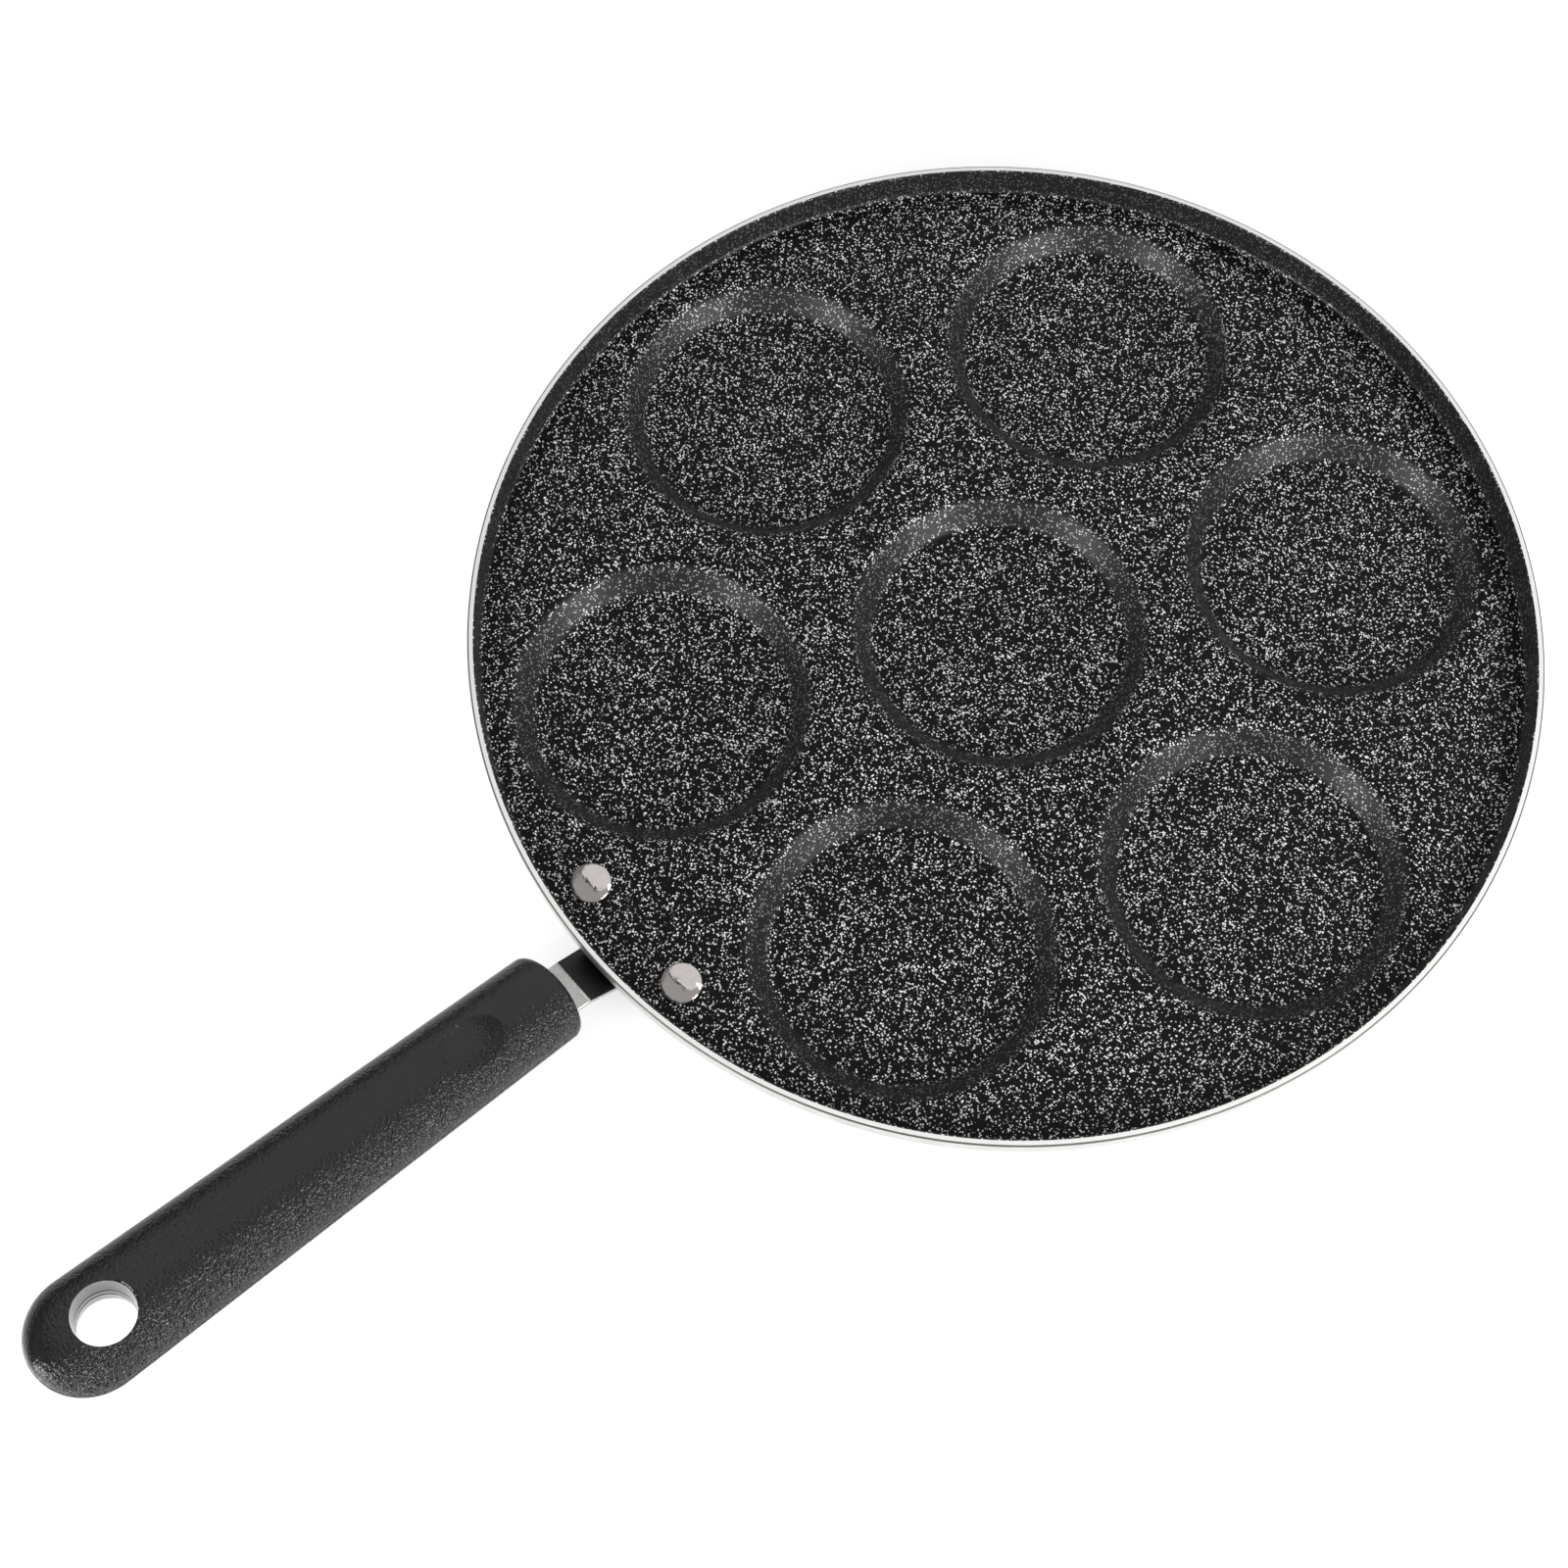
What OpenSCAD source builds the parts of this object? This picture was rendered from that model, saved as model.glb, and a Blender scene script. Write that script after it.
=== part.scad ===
// Aebleskiver pan: a shallow round tray of pressed aluminium with seven
// flat-floored cups, and a moulded grip on a riveted steel bracket.
// Origin: centre of the face that rests on the hob, under the middle cup.
// +Z points up, the grip points along -Y, and all sizes are in millimetres.

/* [Tray] */
// Diameter over the rim
pan_d = 260; // [220:1:320]
// Depth of the tray from the rim down to its plate
tray_depth = 8.4; // [6:0.2:16]
// Thickness of the pressed sheet
sheet = 2.6; // [2:0.1:3]
// Width of the rim, and so the thickness of the drawn wall
rim_w = 1.8; // [1.4:0.1:3]
// Radius inside the tray, where the plate meets the wall
inner_corner_r = 1.2; // [0.5:0.1:2.4]
// Radius outside the tray, where the plate meets the wall
outer_corner_r = 6; // [4:0.1:6.1]
// Small rounding on both edges of the rim
rim_edge_r = 0.4; // [0.2:0.05:0.6]

/* [Cups] */
// Number of cups round the middle one
ring_cups = 6; // [3:1:6]
// Width of the plate left between the lips of neighbouring cups
cup_gap = 7.8; // [5:0.1:14]
// Width of the plate left between the lips of the ring and the wall
rim_gap = 4.5; // [4.2:0.1:9]
// Depth of a cup below the plate
cup_depth = 6.5; // [5:0.1:8]
// Slope of a cup's wall from the horizontal, in degrees
wall_slope = 52; // [45:1:65]
// Radius of the bend from floor to wall, on the food side
floor_bend_r = 3; // [1.5:0.1:4]
// Radius of the bend from wall to plate, on the underside
lip_bend_r = 1.7; // [1:0.1:2.5]
// Turn of the cup ring from the handle's axis, in degrees
ring_turn = 0.9; // [0:0.1:3]

/* [Rivets] */
// Distance between the two rivets
rivet_spacing = 32.6; // [24:0.2:36]
// Distance from the outside of the rim in to the rivets' line
rivet_inset = 12.5; // [12:0.1:14.5]
// Diameter of a rivet's head
rivet_head_d = 9.8; // [7:0.1:11]
// Height of a rivet's head
rivet_head_h = 2.3; // [1.8:0.1:3]
// Height of the upright edge under a rivet's dome
rivet_edge_h = 1.1; // [0.6:0.1:1.4]
// Diameter of a rivet's shank
rivet_shank_d = 5; // [4:0.1:6]
// Diameter of the upset tail under the bracket
rivet_tail_d = 8.2; // [7:0.1:9.5]
// Height of the upset tail under the bracket
rivet_tail_h = 1.6; // [1:0.1:2]
// Rounding of the upset tail's lower edge
rivet_tail_edge_r = 0.8; // [0.3:0.1:0.9]
// Gap left round a shank in its holes
shank_gap = 0.05; // [0.02:0.01:0.2]

/* [Bracket] */
// Thickness of the steel strip
strip_t = 1.8; // [1.4:0.1:2.2]
// Radius of the tab round each rivet
tab_r = 6.8; // [6:0.1:7.2]
// Width of the neck where it comes out from under the rim
neck_w = 13.1; // [10:0.1:14]
// Width of the tongue inside the grip
tongue_w = 12.2; // [9:0.1:13]
// Slope of the strip between its two bends, in degrees
strip_rise = 33; // [24:1:38]
// Distance from the outside of the rim in to the first bend
first_bend_in = 2.5; // [2:0.1:4]
// Distance from the outside of the rim out to the second bend
second_bend_out = 6.4; // [4:0.1:7]
// Radius of both bends on the strip's upper face
strip_bend_r = 3; // [2.6:0.1:4]
// Length of the tongue inside the grip
tongue_len = 34; // [28:0.5:50]
// Size of the cut across each end corner of the tongue
tongue_corner = 2; // [1:0.1:3]

/* [Grip] */
// Slope of the grip, in degrees
grip_slope = 12.9; // [10:0.1:18]
// Gap between the rim and the front edge of the grip's crown
grip_gap = 9; // [7.5:0.1:14]
// Length of the grip along its slope
grip_len = 136.3; // [120:0.1:180]
// Width of the grip at its front
front_w = 22.5; // [20:0.1:28]
// Width of the grip where its round tip begins
tip_w = 26.3; // [24:0.1:32]
// Height of the crown over the parting plane
crown_h = 5.6; // [5:0.1:8]
// Depth of the belly below the parting plane at the front
belly_front_h = 10; // [9.6:0.1:12]
// Depth of the belly below the parting plane at the tip
belly_tip_h = 8.4; // [7:0.1:11]
// How far the front bows out towards the pan
front_bow = 1.6; // [0:0.1:4]
// Rounding of the front edges
front_edge_r = 2.1; // [0.6:0.1:2.4]
// Phenolic left over the tongue at the crown
tongue_cover = 8.4; // [7:0.1:9]
// Free height over the tongue in its slot
slot_gap = 0.2; // [0.1:0.05:0.4]

/* [Hanging hole] */
// Diameter of the hole at its narrow land
hang_d = 12.4; // [9:0.1:14]
// Length of the land, half-way through the grip
hang_land = 2.4; // [1.6:0.1:6]
// Draft of the hole from its land out to both mouths, in degrees
hang_draft = 6; // [2:0.5:8]
// Rounding of both mouths
hang_edge_r = 0.8; // [0.4:0.1:1.2]
// Distance from the hole's centre to the tip
hang_to_tip = 17; // [14:0.1:24]

/* [Thumb dent] */
// Distance from the front of the grip to the dent's centre
dent_from_front = 25; // [20:0.5:40]
// Length of the dent along the grip
dent_len = 16; // [10:0.5:20]
// Depth of the dent below the crown
dent_depth = 1.4; // [0.6:0.1:2]

/* [Grip screw] */
// Diameter of the screw's thread
screw_d = 4; // [3:0.1:5]
// Distance from the front of the grip to the screw
screw_from_front = 17; // [12:0.5:22]
// Diameter of the screw's pan head
screw_head_d = 8; // [7:0.1:9]
// Height of the screw's pan head
screw_head_h = 2.4; // [2:0.1:2.8]
// Rounding of the pan head's edge
screw_head_edge_r = 1.4; // [0.8:0.1:1.8]
// Length of each arm of the cross recess, from tip to tip
recess_l = 4.4; // [3:0.1:5]
// Width of each arm of the cross recess
recess_w = 1.1; // [0.8:0.1:1.4]
// Depth of the cross recess
recess_h = 1.5; // [1:0.1:1.7]
// Thickness of the spring washer under the head
washer_t = 1; // [0.8:0.1:1.2]
// Diameter of the spring washer
washer_d = 7.4; // [6.8:0.1:8]
// Width of the cut through the spring washer
washer_cut = 1; // [0.6:0.1:2]
// Depth of the head's lowest point inside the belly of the grip
head_sunk = 0.4; // [0.2:0.1:1]
// Gap round the head and the washer in their counterbore
bore_gap = 0.6; // [0.4:0.1:1]
// Gap round the screw in the grip and in the washer
screw_gap = 0.3; // [0.2:0.05:0.5]
// Gap between the thread and its tapped hole in the tongue
thread_gap = 0.05; // [0.02:0.01:0.1]
// Length of screw standing out above the tongue
screw_proud = 1; // [0.7:0.1:1.4]
// Size of the chamfer on the screw's end
screw_chamfer = 0.5; // [0.3:0.1:0.7]

/* [Hidden] */
$fn = 96;
// Widest step along a bend in a drawn outline, in degrees
bend_step = 9;
// Overlap of a cutting shape beyond the face that it cuts
over = 1;

pan_r = pan_d / 2;
wall_r = pan_r - rim_w;
floor_z = sheet;
plate_z = floor_z + cup_depth;
under_z = plate_z - sheet;
rim_z = plate_z + tray_depth;

// The cups fill the tray: three lips, one gap between cups and one at the wall
// make up its radius, and the floor is what the bends and the slope leave
lip_r = (wall_r - cup_gap - rim_gap) / 3;
cup_pitch = 2 * lip_r + cup_gap;
lip_top_r = lip_bend_r + sheet;
floor_under_r = floor_bend_r + sheet;
slope_drop = cup_depth - (lip_top_r + floor_bend_r) * (1 - cos(wall_slope));
floor_r = lip_r - (lip_top_r + floor_bend_r) * sin(wall_slope)
          - slope_drop / tan(wall_slope);

rivet_y = -(pan_r - rivet_inset);
rivet_x = rivet_spacing / 2;

// Upper face of the strip, as distances out from the pan's axis and heights
tab_in = pan_r - rivet_inset - tab_r;
first_bend = [pan_r - first_bend_in, under_z];
second_bend = [pan_r + second_bend_out,
               under_z + (first_bend_in + second_bend_out) * tan(strip_rise)];

// The grip's own frame: its origin is on the tongue's upper face at the front,
// its -Y runs along the grip, and its Z stands square to the parting plane
front_out = pan_r + grip_gap + tongue_cover * sin(grip_slope);
front_z = second_bend[1] + (front_out - second_bend[0]) * tan(grip_slope);
tongue_run = (front_out - second_bend[0]) / cos(grip_slope) + tongue_len;
parting_z = tongue_cover - crown_h;
crown_z = parting_z + crown_h;
slot_w = tongue_w + 2 * slot_gap;
tip_r = tip_w / 2;
tip_centre = grip_len - tip_r;
hang_s = grip_len - hang_to_tip;

// Depth of the belly at a distance s from the front
function belly_h(s) = belly_front_h + (belly_tip_h - belly_front_h) * min(1, s / tip_centre);

// Heights of the screw in the grip's frame, from the belly up
screw_belly_z = parting_z - belly_h(screw_from_front);
head_low_z = screw_belly_z + head_sunk;
head_top_z = head_low_z + screw_head_h;
head_seat_z = head_top_z + washer_t;

// Points of a round stretch about a centre, from angle a to angle b
function round_stretch(centre, r, a, b) =
    let (steps = ceil(abs(b - a) / bend_step))
    [for (i = [0:steps])
        let (t = a + (b - a) * i / steps)
        centre + r * [cos(t), sin(t)]];

// The pressed curve of a cup, from its floor up over the lip, for one face of
// the sheet: z is the floor's height and the radii are those of the two bends
function cup_curve(z, low_r, high_r) = concat(
    round_stretch([floor_r, z + low_r], low_r, -90, wall_slope - 90),
    round_stretch([lip_r, z + cup_depth - high_r], high_r, wall_slope + 90, 90));

// The tray without its cups: a plate with an upright wall
module tray_section() {
    polygon(concat(
        [[0, plate_z]],
        round_stretch([wall_r - inner_corner_r, plate_z + inner_corner_r], inner_corner_r, -90, 0),
        round_stretch([wall_r + rim_edge_r, rim_z - rim_edge_r], rim_edge_r, 180, 90),
        round_stretch([pan_r - rim_edge_r, rim_z - rim_edge_r], rim_edge_r, 90, 0),
        round_stretch([pan_r - outer_corner_r, under_z + outer_corner_r], outer_corner_r, 0, -90),
        [[0, under_z]]));
}

// What a cup adds below the plate
module cup_outside() {
    rotate_extrude()
        polygon(concat(
            [[0, 0]],
            cup_curve(0, floor_under_r, lip_bend_r),
            [[lip_r, plate_z - sheet / 2], [0, plate_z - sheet / 2]]));
}

// What a cup takes out of the plate
module cup_inside() {
    rotate_extrude()
        polygon(concat(
            [[0, floor_z]],
            cup_curve(floor_z, floor_bend_r, lip_top_r),
            [[lip_r, plate_z + over], [0, plate_z + over]]));
}

// One child in the middle and one at each place of the ring, with the
// handle's axis running between two of them
module at_cups() {
    children();
    for (i = [0:ring_cups - 1])
        rotate(-90 + ring_turn + (i + 0.5) * 360 / ring_cups)
            translate([cup_pitch, 0, 0])
                children();
}

module at_rivets() {
    for (side = [-1, 1])
        translate([side * rivet_x, rivet_y, 0])
            children();
}

module pan_body() {
    color("#3a3a3c")
        difference() {
            union() {
                rotate_extrude($fn = 180)
                    tray_section();
                at_cups()
                    cup_outside();
            }
            at_cups()
                cup_inside();
            at_rivets()
                translate([0, 0, under_z - over])
                    cylinder(d = rivet_shank_d + 2 * shank_gap, h = sheet + 2 * over);
        }
}

// A set rivet: low dome on the plate, shank, and upset tail under the strip.
// The dome is part of a ball that stands on a short upright edge
module rivet() {
    head_r = rivet_head_d / 2;
    shank_r = rivet_shank_d / 2;
    tail_r = rivet_tail_d / 2;
    tail_z = under_z - strip_t;
    tail_low_z = tail_z - rivet_tail_h;
    edge_r = rivet_tail_edge_r;
    dome_h = rivet_head_h - rivet_edge_h;
    ball_r = (head_r * head_r + dome_h * dome_h) / (2 * dome_h);
    reach = asin(head_r / ball_r);
    color("#d9d7d6")
        rotate_extrude()
            polygon(concat(
                [[0, tail_low_z]],
                round_stretch([tail_r - edge_r, tail_low_z + edge_r], edge_r, -90, 0),
                [[tail_r, tail_z], [shank_r, tail_z], [shank_r, plate_z], [head_r, plate_z]],
                round_stretch([0, plate_z + rivet_head_h - ball_r], ball_r, 90 - reach, 90)));
}

module rivet_left() {
    translate([-rivet_x, rivet_y, 0])
        rivet();
}

module rivet_right() {
    translate([rivet_x, rivet_y, 0])
        rivet();
}

// Direction from one point of an outline to another, in degrees
function heading(p, q) = atan2(q[1] - p[1], q[0] - p[0]);

// The strip's bent side, drawn as distance out and height, with an upper face
// that runs under the plate, up past the rim and on into the grip. Each point
// of a bend at q comes with the strip's direction there
function bend_points(p, q, s) =
    let (a = heading(p, q), b = heading(q, s), turn = sign(b - a),
         start = q - strip_bend_r * tan(abs(b - a) / 2) * [cos(a), sin(a)],
         centre = start + turn * strip_bend_r * [-sin(a), cos(a)],
         steps = ceil(abs(b - a) / bend_step))
    [for (i = [0:steps])
        let (h = a + (b - a) * i / steps)
        [centre + turn * strip_bend_r * [sin(h), -cos(h)], h]];

module strip_side() {
    start = [tab_in - over, under_z];
    end = second_bend + tongue_run * [cos(grip_slope), sin(grip_slope)];
    path = concat(
        [[start, 0]],
        bend_points(start, first_bend, second_bend),
        bend_points(first_bend, second_bend, end),
        [[end, grip_slope]]);
    polygon(concat(
        [for (p = path) p[0]],
        [for (i = [len(path) - 1:-1:0])
            path[i][0] - strip_t * [-sin(path[i][1]), cos(path[i][1])]]));
}

// Direction from a circle's centre to where a straight line from p touches it
function touch_angle(centre, r, p) = heading(centre, p) + acos(r / norm(p - centre));

// The strip seen from above: a tab round both rivets that narrows to the neck,
// then the tongue with its corners cut back
module strip_plan() {
    root = [neck_w / 2, -first_bend[0]];
    rivet_at = [rivet_x, rivet_y];
    step_y = -second_bend[0];
    tip_y = step_y - tongue_run * cos(grip_slope);
    half = concat(
        round_stretch(rivet_at, tab_r, 90, touch_angle(rivet_at, tab_r, root)),
        [root, [tongue_w / 2, step_y], [tongue_w / 2, tip_y + tongue_corner],
         [tongue_w / 2 - tongue_corner, tip_y]]);
    polygon(concat(half, [for (i = [len(half) - 1:-1:0]) [-half[i][0], half[i][1]]]));
}

// Places its children in the grip's own frame
module on_grip() {
    translate([0, -front_out, front_z])
        rotate([-grip_slope, 0, 0])
            children();
}

module handle_bracket() {
    top = second_bend[1] + tongue_run;
    color("#1c1c1e")
        intersection() {
            difference() {
                rotate([90, 0, -90])
                    linear_extrude(height = rivet_spacing + 2 * tab_r + 2 * over, center = true)
                        strip_side();
                on_grip()
                    translate([0, -screw_from_front, -strip_t - over])
                        cylinder(d = screw_d + 2 * thread_gap, h = strip_t + 2 * over);
            }
            linear_extrude(height = top)
                difference() {
                    strip_plan();
                    at_rivets()
                        circle(d = rivet_shank_d + 2 * shank_gap);
                }
        }
}

// The grip is a loft of rounded sections. Its half width grows evenly from the
// front to the round tip, and closes there in a half circle
function half_width(s) =
    s <= tip_centre
        ? (front_w + (tip_w - front_w) * max(0, s) / tip_centre) / 2
        : tip_r * sqrt(max(0, 1 - pow((s - tip_centre) / tip_r, 2)));

// Share of the full height at s: full along the grip, and rolled down at the tip
tip_roll = 4;
function height_share(s) =
    s <= tip_centre ? 1 : pow(max(0, 1 - pow((s - tip_centre) / tip_r, tip_roll)), 1 / tip_roll);

// A section is a rounded oval, a little squarer than an ellipse
section_power = 2.1;
section_points = 48;
function oval(c) = sign(c) * pow(abs(c), 2 / section_power);

// One point of the loft: s along the grip, a round the section, and a share of
// the section's size that draws in the front face to its middle
function grip_point(s, a, share) =
    let (x = share * half_width(s) * oval(cos(a)),
         h = sin(a) > 0 ? crown_h : belly_h(s),
         bow = front_bow * pow(2 * x / front_w, 2) * max(0, 1 - s / tip_centre),
         z = share * h * height_share(s) * oval(sin(a)))
    [x, -(s + bow), parting_z + z];

// Stations along the grip: the front face, its rounded edge, the body, the tip
front_rows = [for (share = [0.04, 0.3, 0.6]) [0, share]];
edge_rows = [for (a = [0:15:90])
    [front_edge_r * (1 - cos(a)), 1 - (1 - sin(a)) * 2 * front_edge_r / front_w]];
body_count = 12;
body_rows = [for (i = [1:body_count])
    [front_edge_r + (tip_centre - front_edge_r) * i / body_count, 1]];
tip_rows = [for (a = [8:8:72]) [tip_centre + tip_r * sin(a), 1]];
tip_end_rows = [for (a = [76:4:88]) [tip_centre + tip_r * sin(a), 1]];
grip_rows = concat(front_rows, edge_rows, body_rows, tip_rows, tip_end_rows);

module grip_form() {
    rows = len(grip_rows);
    n = section_points;
    points = [for (row = grip_rows, i = [0:n - 1])
        grip_point(row[0], 360 * (i + 0.5) / n, row[1])];
    sides = [for (k = [0:rows - 2], i = [0:n - 1])
        let (a = k * n + i, b = k * n + (i + 1) % n)
        each [[a, b, a + n], [b, b + n, a + n]]];
    front_cap = [[for (i = [n - 1:-1:0]) i]];
    tip_cap = [[for (i = [0:n - 1]) (rows - 1) * n + i]];
    polyhedron(points = points, faces = concat(sides, front_cap, tip_cap));
}

// One half of the hanging hole's side, from the land's edge at height a to the
// rounded mouth at height b
function mouth_side(a, b) =
    let (out = sign(b - a), edge_z = b - out * hang_edge_r,
         r = hang_d / 2 + abs(edge_z - a) * tan(hang_draft))
    concat([[hang_d / 2, a]],
           round_stretch([r + hang_edge_r, edge_z], hang_edge_r, 180, 180 - out * 90),
           [[r + hang_edge_r, b + out * over], [0, b + out * over]]);

module hang_hole_cut() {
    low_z = parting_z - belly_h(hang_s);
    middle_z = (crown_z + low_z) / 2;
    low_side = mouth_side(middle_z - hang_land / 2, low_z);
    translate([0, -hang_s, 0])
        rotate_extrude()
            polygon(concat(
                [for (i = [len(low_side) - 1:-1:0]) low_side[i]],
                mouth_side(middle_z + hang_land / 2, crown_z)));
}

// The thumb dent is a slice of a ball, which comes out oval on the crown
module thumb_dent_cut() {
    ball_r = (pow(dent_len / 2, 2) + dent_depth * dent_depth) / (2 * dent_depth);
    translate([0, -dent_from_front, crown_z - dent_depth + ball_r])
        sphere(r = ball_r);
}

module handle_grip() {
    bore_low_z = screw_belly_z - over;
    color("#26262a")
        on_grip()
            difference() {
                grip_form();
                // Slot for the tongue, which lies on its lower face
                translate([-slot_w / 2, -tongue_len - slot_gap, -strip_t])
                    cube([slot_w, tongue_len + slot_gap + over, strip_t + slot_gap]);
                // Hole for the screw, and the counterbore for its head
                translate([0, -screw_from_front, bore_low_z])
                    cylinder(d = screw_d + 2 * screw_gap, h = screw_proud + slot_gap - bore_low_z);
                translate([0, -screw_from_front, bore_low_z])
                    cylinder(d = screw_head_d + 2 * bore_gap, h = head_seat_z - bore_low_z);
                hang_hole_cut();
                thumb_dent_cut();
            }
}

// A split washer that keeps the screw from working loose
module spring_washer() {
    color("#b9babc")
        on_grip()
            translate([0, -screw_from_front, head_top_z])
                difference() {
                    cylinder(d = washer_d, h = washer_t);
                    translate([0, 0, -over])
                        cylinder(d = screw_d + 2 * screw_gap, h = washer_t + 2 * over);
                    translate([0, -washer_cut / 2, -over])
                        cube([washer_d, washer_cut, washer_t + 2 * over]);
                }
}

// A pan-head screw with a cross recess, driven up from under the grip
module grip_screw() {
    head_r = screw_head_d / 2;
    edge_r = screw_head_edge_r;
    thread_r = screw_d / 2;
    color("#c9cacc")
        on_grip()
            translate([0, -screw_from_front, 0])
                difference() {
                    rotate_extrude()
                        polygon(concat(
                            [[0, head_low_z]],
                            round_stretch([head_r - edge_r, head_low_z + edge_r], edge_r, -90, 0),
                            [[head_r, head_top_z], [thread_r, head_top_z],
                             [thread_r, screw_proud - screw_chamfer],
                             [thread_r - screw_chamfer, screw_proud], [0, screw_proud]]));
                    for (turn = [0, 90])
                        rotate(turn)
                            translate([-recess_l / 2, -recess_w / 2, head_low_z - over])
                                cube([recess_l, recess_w, recess_h + over]);
                }
}

pan_body();
rivet_left();
rivet_right();
handle_bracket();
handle_grip();
spring_washer();
grip_screw();
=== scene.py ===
"""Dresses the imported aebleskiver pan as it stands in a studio.

The pan is a tray pressed from aluminium sheet with seven flat-floored cups, coated
inside, with a bare turned rim. A riveted steel bracket carries a moulded grip. Every
visible piece is rebuilt here as a finer surface in the place of its CAD node. Lengths
are in millimetres until a mesh is written, which is in metres.
"""
import logging
import math
from dataclasses import dataclass, field
from enum import Enum, IntEnum
from typing import Callable, Optional, Sequence, Union

import bmesh
import bpy
import numpy as np
from mathutils import Matrix, Vector
from mathutils.geometry import delaunay_2d_cdt


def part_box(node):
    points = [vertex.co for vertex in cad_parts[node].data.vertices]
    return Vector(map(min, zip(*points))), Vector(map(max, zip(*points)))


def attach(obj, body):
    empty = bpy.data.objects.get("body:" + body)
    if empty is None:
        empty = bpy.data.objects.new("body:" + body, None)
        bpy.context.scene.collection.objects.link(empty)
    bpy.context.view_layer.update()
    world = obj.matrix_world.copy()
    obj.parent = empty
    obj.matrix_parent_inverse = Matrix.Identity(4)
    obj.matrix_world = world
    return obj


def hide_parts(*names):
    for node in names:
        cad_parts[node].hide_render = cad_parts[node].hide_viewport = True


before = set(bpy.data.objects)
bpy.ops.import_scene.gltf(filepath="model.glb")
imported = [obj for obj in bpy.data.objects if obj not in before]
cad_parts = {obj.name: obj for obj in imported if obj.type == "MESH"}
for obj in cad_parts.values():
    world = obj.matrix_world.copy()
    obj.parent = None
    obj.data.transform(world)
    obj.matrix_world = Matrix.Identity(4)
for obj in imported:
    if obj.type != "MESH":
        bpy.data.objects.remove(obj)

LOG = logging.getLogger("aebleskiver_pan")
MM = 0.001
BODY = "root"
Setting = Union[float, str, bool, tuple, bpy.types.NodeSocket]
Finish = Union[int, Sequence[int], np.ndarray]

# Settings that many nodes share. A MapRange reads from input 1 to 2 and gives from 3 to 4, where one
# that isn't named is nought to one. A Mix goes from input 6 to 7, or for numbers from 2 to 3.
SOFT_RAMP = {"interpolation_type": "SMOOTHSTEP"}
COLOURS = {"data_type": "RGBA"}
PLUS, MINUS = {"operation": "ADD"}, {"operation": "SUBTRACT"}
TIMES, TIMES_PLUS = {"operation": "MULTIPLY"}, {"operation": "MULTIPLY_ADD"}
LARGER = {"operation": "MAXIMUM"}
WHITE = (1.0, 1.0, 1.0, 1.0)
LOW_NOISE, HIGH_NOISE = 0.3, 0.7  # most of a noise lies between these


class Slot(Enum):
    """The record's material slots that the pieces take their finish from."""

    COATED_ALUMINIUM = "coated_aluminium"
    RIVET_METAL = "rivet_metal"
    COATED_STEEL = "coated_steel"
    PHENOLIC = "phenolic"
    ZINC_STEEL = "zinc_steel"


class TrayFinish(IntEnum):
    """The tray's finishes, by their number in its list of materials."""

    COAT = 0
    TURNED_RIM = 1
    PRESSED_WALL = 2
    # The rim's outer rounding, drawn darker as a painted dark reflection
    RIM_EDGE_PAINTED_DARK = 3


class StripFinish(IntEnum):
    """The bracket's finishes, by their number in its list of materials."""

    BLACK_SATIN = 0
    BARE_STEEL = 1


class GripFinish(IntEnum):
    """The finishes of the hanging hole's core, by their number in its list of materials."""

    GRAINED = 0
    # the hole's smooth wall, drawn pale grey as painted light
    PIN_SMOOTH_PAINTED_LIGHT = 1


# Colour and node helpers


def linear(hex_colour: str) -> tuple[float, float, float, float]:
    """Turns an sRGB hex colour to linear light.

    Args:
        hex_colour: six hex digits after a hash sign.

    Returns:
        Linear red, green, blue and an alpha of one.
    """
    parts = np.array([int(hex_colour[i:i + 2], 16) for i in (1, 3, 5)]) / 255
    low, high = parts / 12.92, ((parts + 0.055) / 1.055) ** 2.4
    return (*map(float, np.where(parts <= 0.04045, low, high)), 1.0)


def add_node(tree: bpy.types.NodeTree, kind: str, settings: Optional[dict] = None,
             inputs: Optional[dict[Union[str, int], Setting]] = None) -> bpy.types.Node:
    """Adds one node with its settings and inputs.

    Args:
        tree: the node tree that takes it.
        kind: the node's type, without the words ShaderNode in front.
        settings: values for the node's own properties.
        inputs: a value or an output socket for each named or numbered input.

    Returns:
        The new node.
    """
    node = tree.nodes.new("ShaderNode" + kind)
    for name, value in (settings or {}).items():
        setattr(node, name, value)
    for name, value in (inputs or {}).items():
        if isinstance(value, bpy.types.NodeSocket):
            tree.links.new(value, node.inputs[name])
        else:
            node.inputs[name].default_value = value
    return node


def new_material(name: str, colour: str) -> tuple[bpy.types.Material, bpy.types.NodeTree]:
    """Makes an empty node material.

    Args:
        name: the material's name.
        colour: hex colour for the plain viewport.

    Returns:
        The material and its cleared node tree.
    """
    material = bpy.data.materials.new(name)
    material.use_nodes = True
    material.diffuse_color = linear(colour)
    material.node_tree.nodes.clear()
    return material, material.node_tree


def cells_per_metre(size_mm: float) -> float:
    """Texture scale that gives one cell for each size_mm on Object coordinates."""
    return 1 / (size_mm * MM)


# Mesh helpers

WELD_WITHIN = 2e-7  # metres between points that are welded
JOIN_WITHIN = 1e-6  # millimetres between points that a plate's triangles join
HOLE_MARGIN = 1e-3  # millimetres that keep a hole's own chords out of it
CUTTER_CRISP = 30.0  # degrees, for cutters, whose cut is shaded again with the piece
FINE_STEPS = 2  # steps round corners too small to see


def arc(centre: Sequence[float], radius: float, start: float, stop: float, steps: int) -> np.ndarray:
    """Points on a circle from one angle to another: centre + radius (cos t, sin t).

    Args:
        centre: the circle's centre.
        radius: its radius.
        start: first angle in degrees.
        stop: last angle in degrees.
        steps: number of equal steps.

    Returns:
        Array of steps + 1 points with two columns.
    """
    turn = np.radians(np.linspace(start, stop, steps + 1))
    return np.asarray(centre) + radius * np.column_stack([np.cos(turn), np.sin(turn)])


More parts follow.
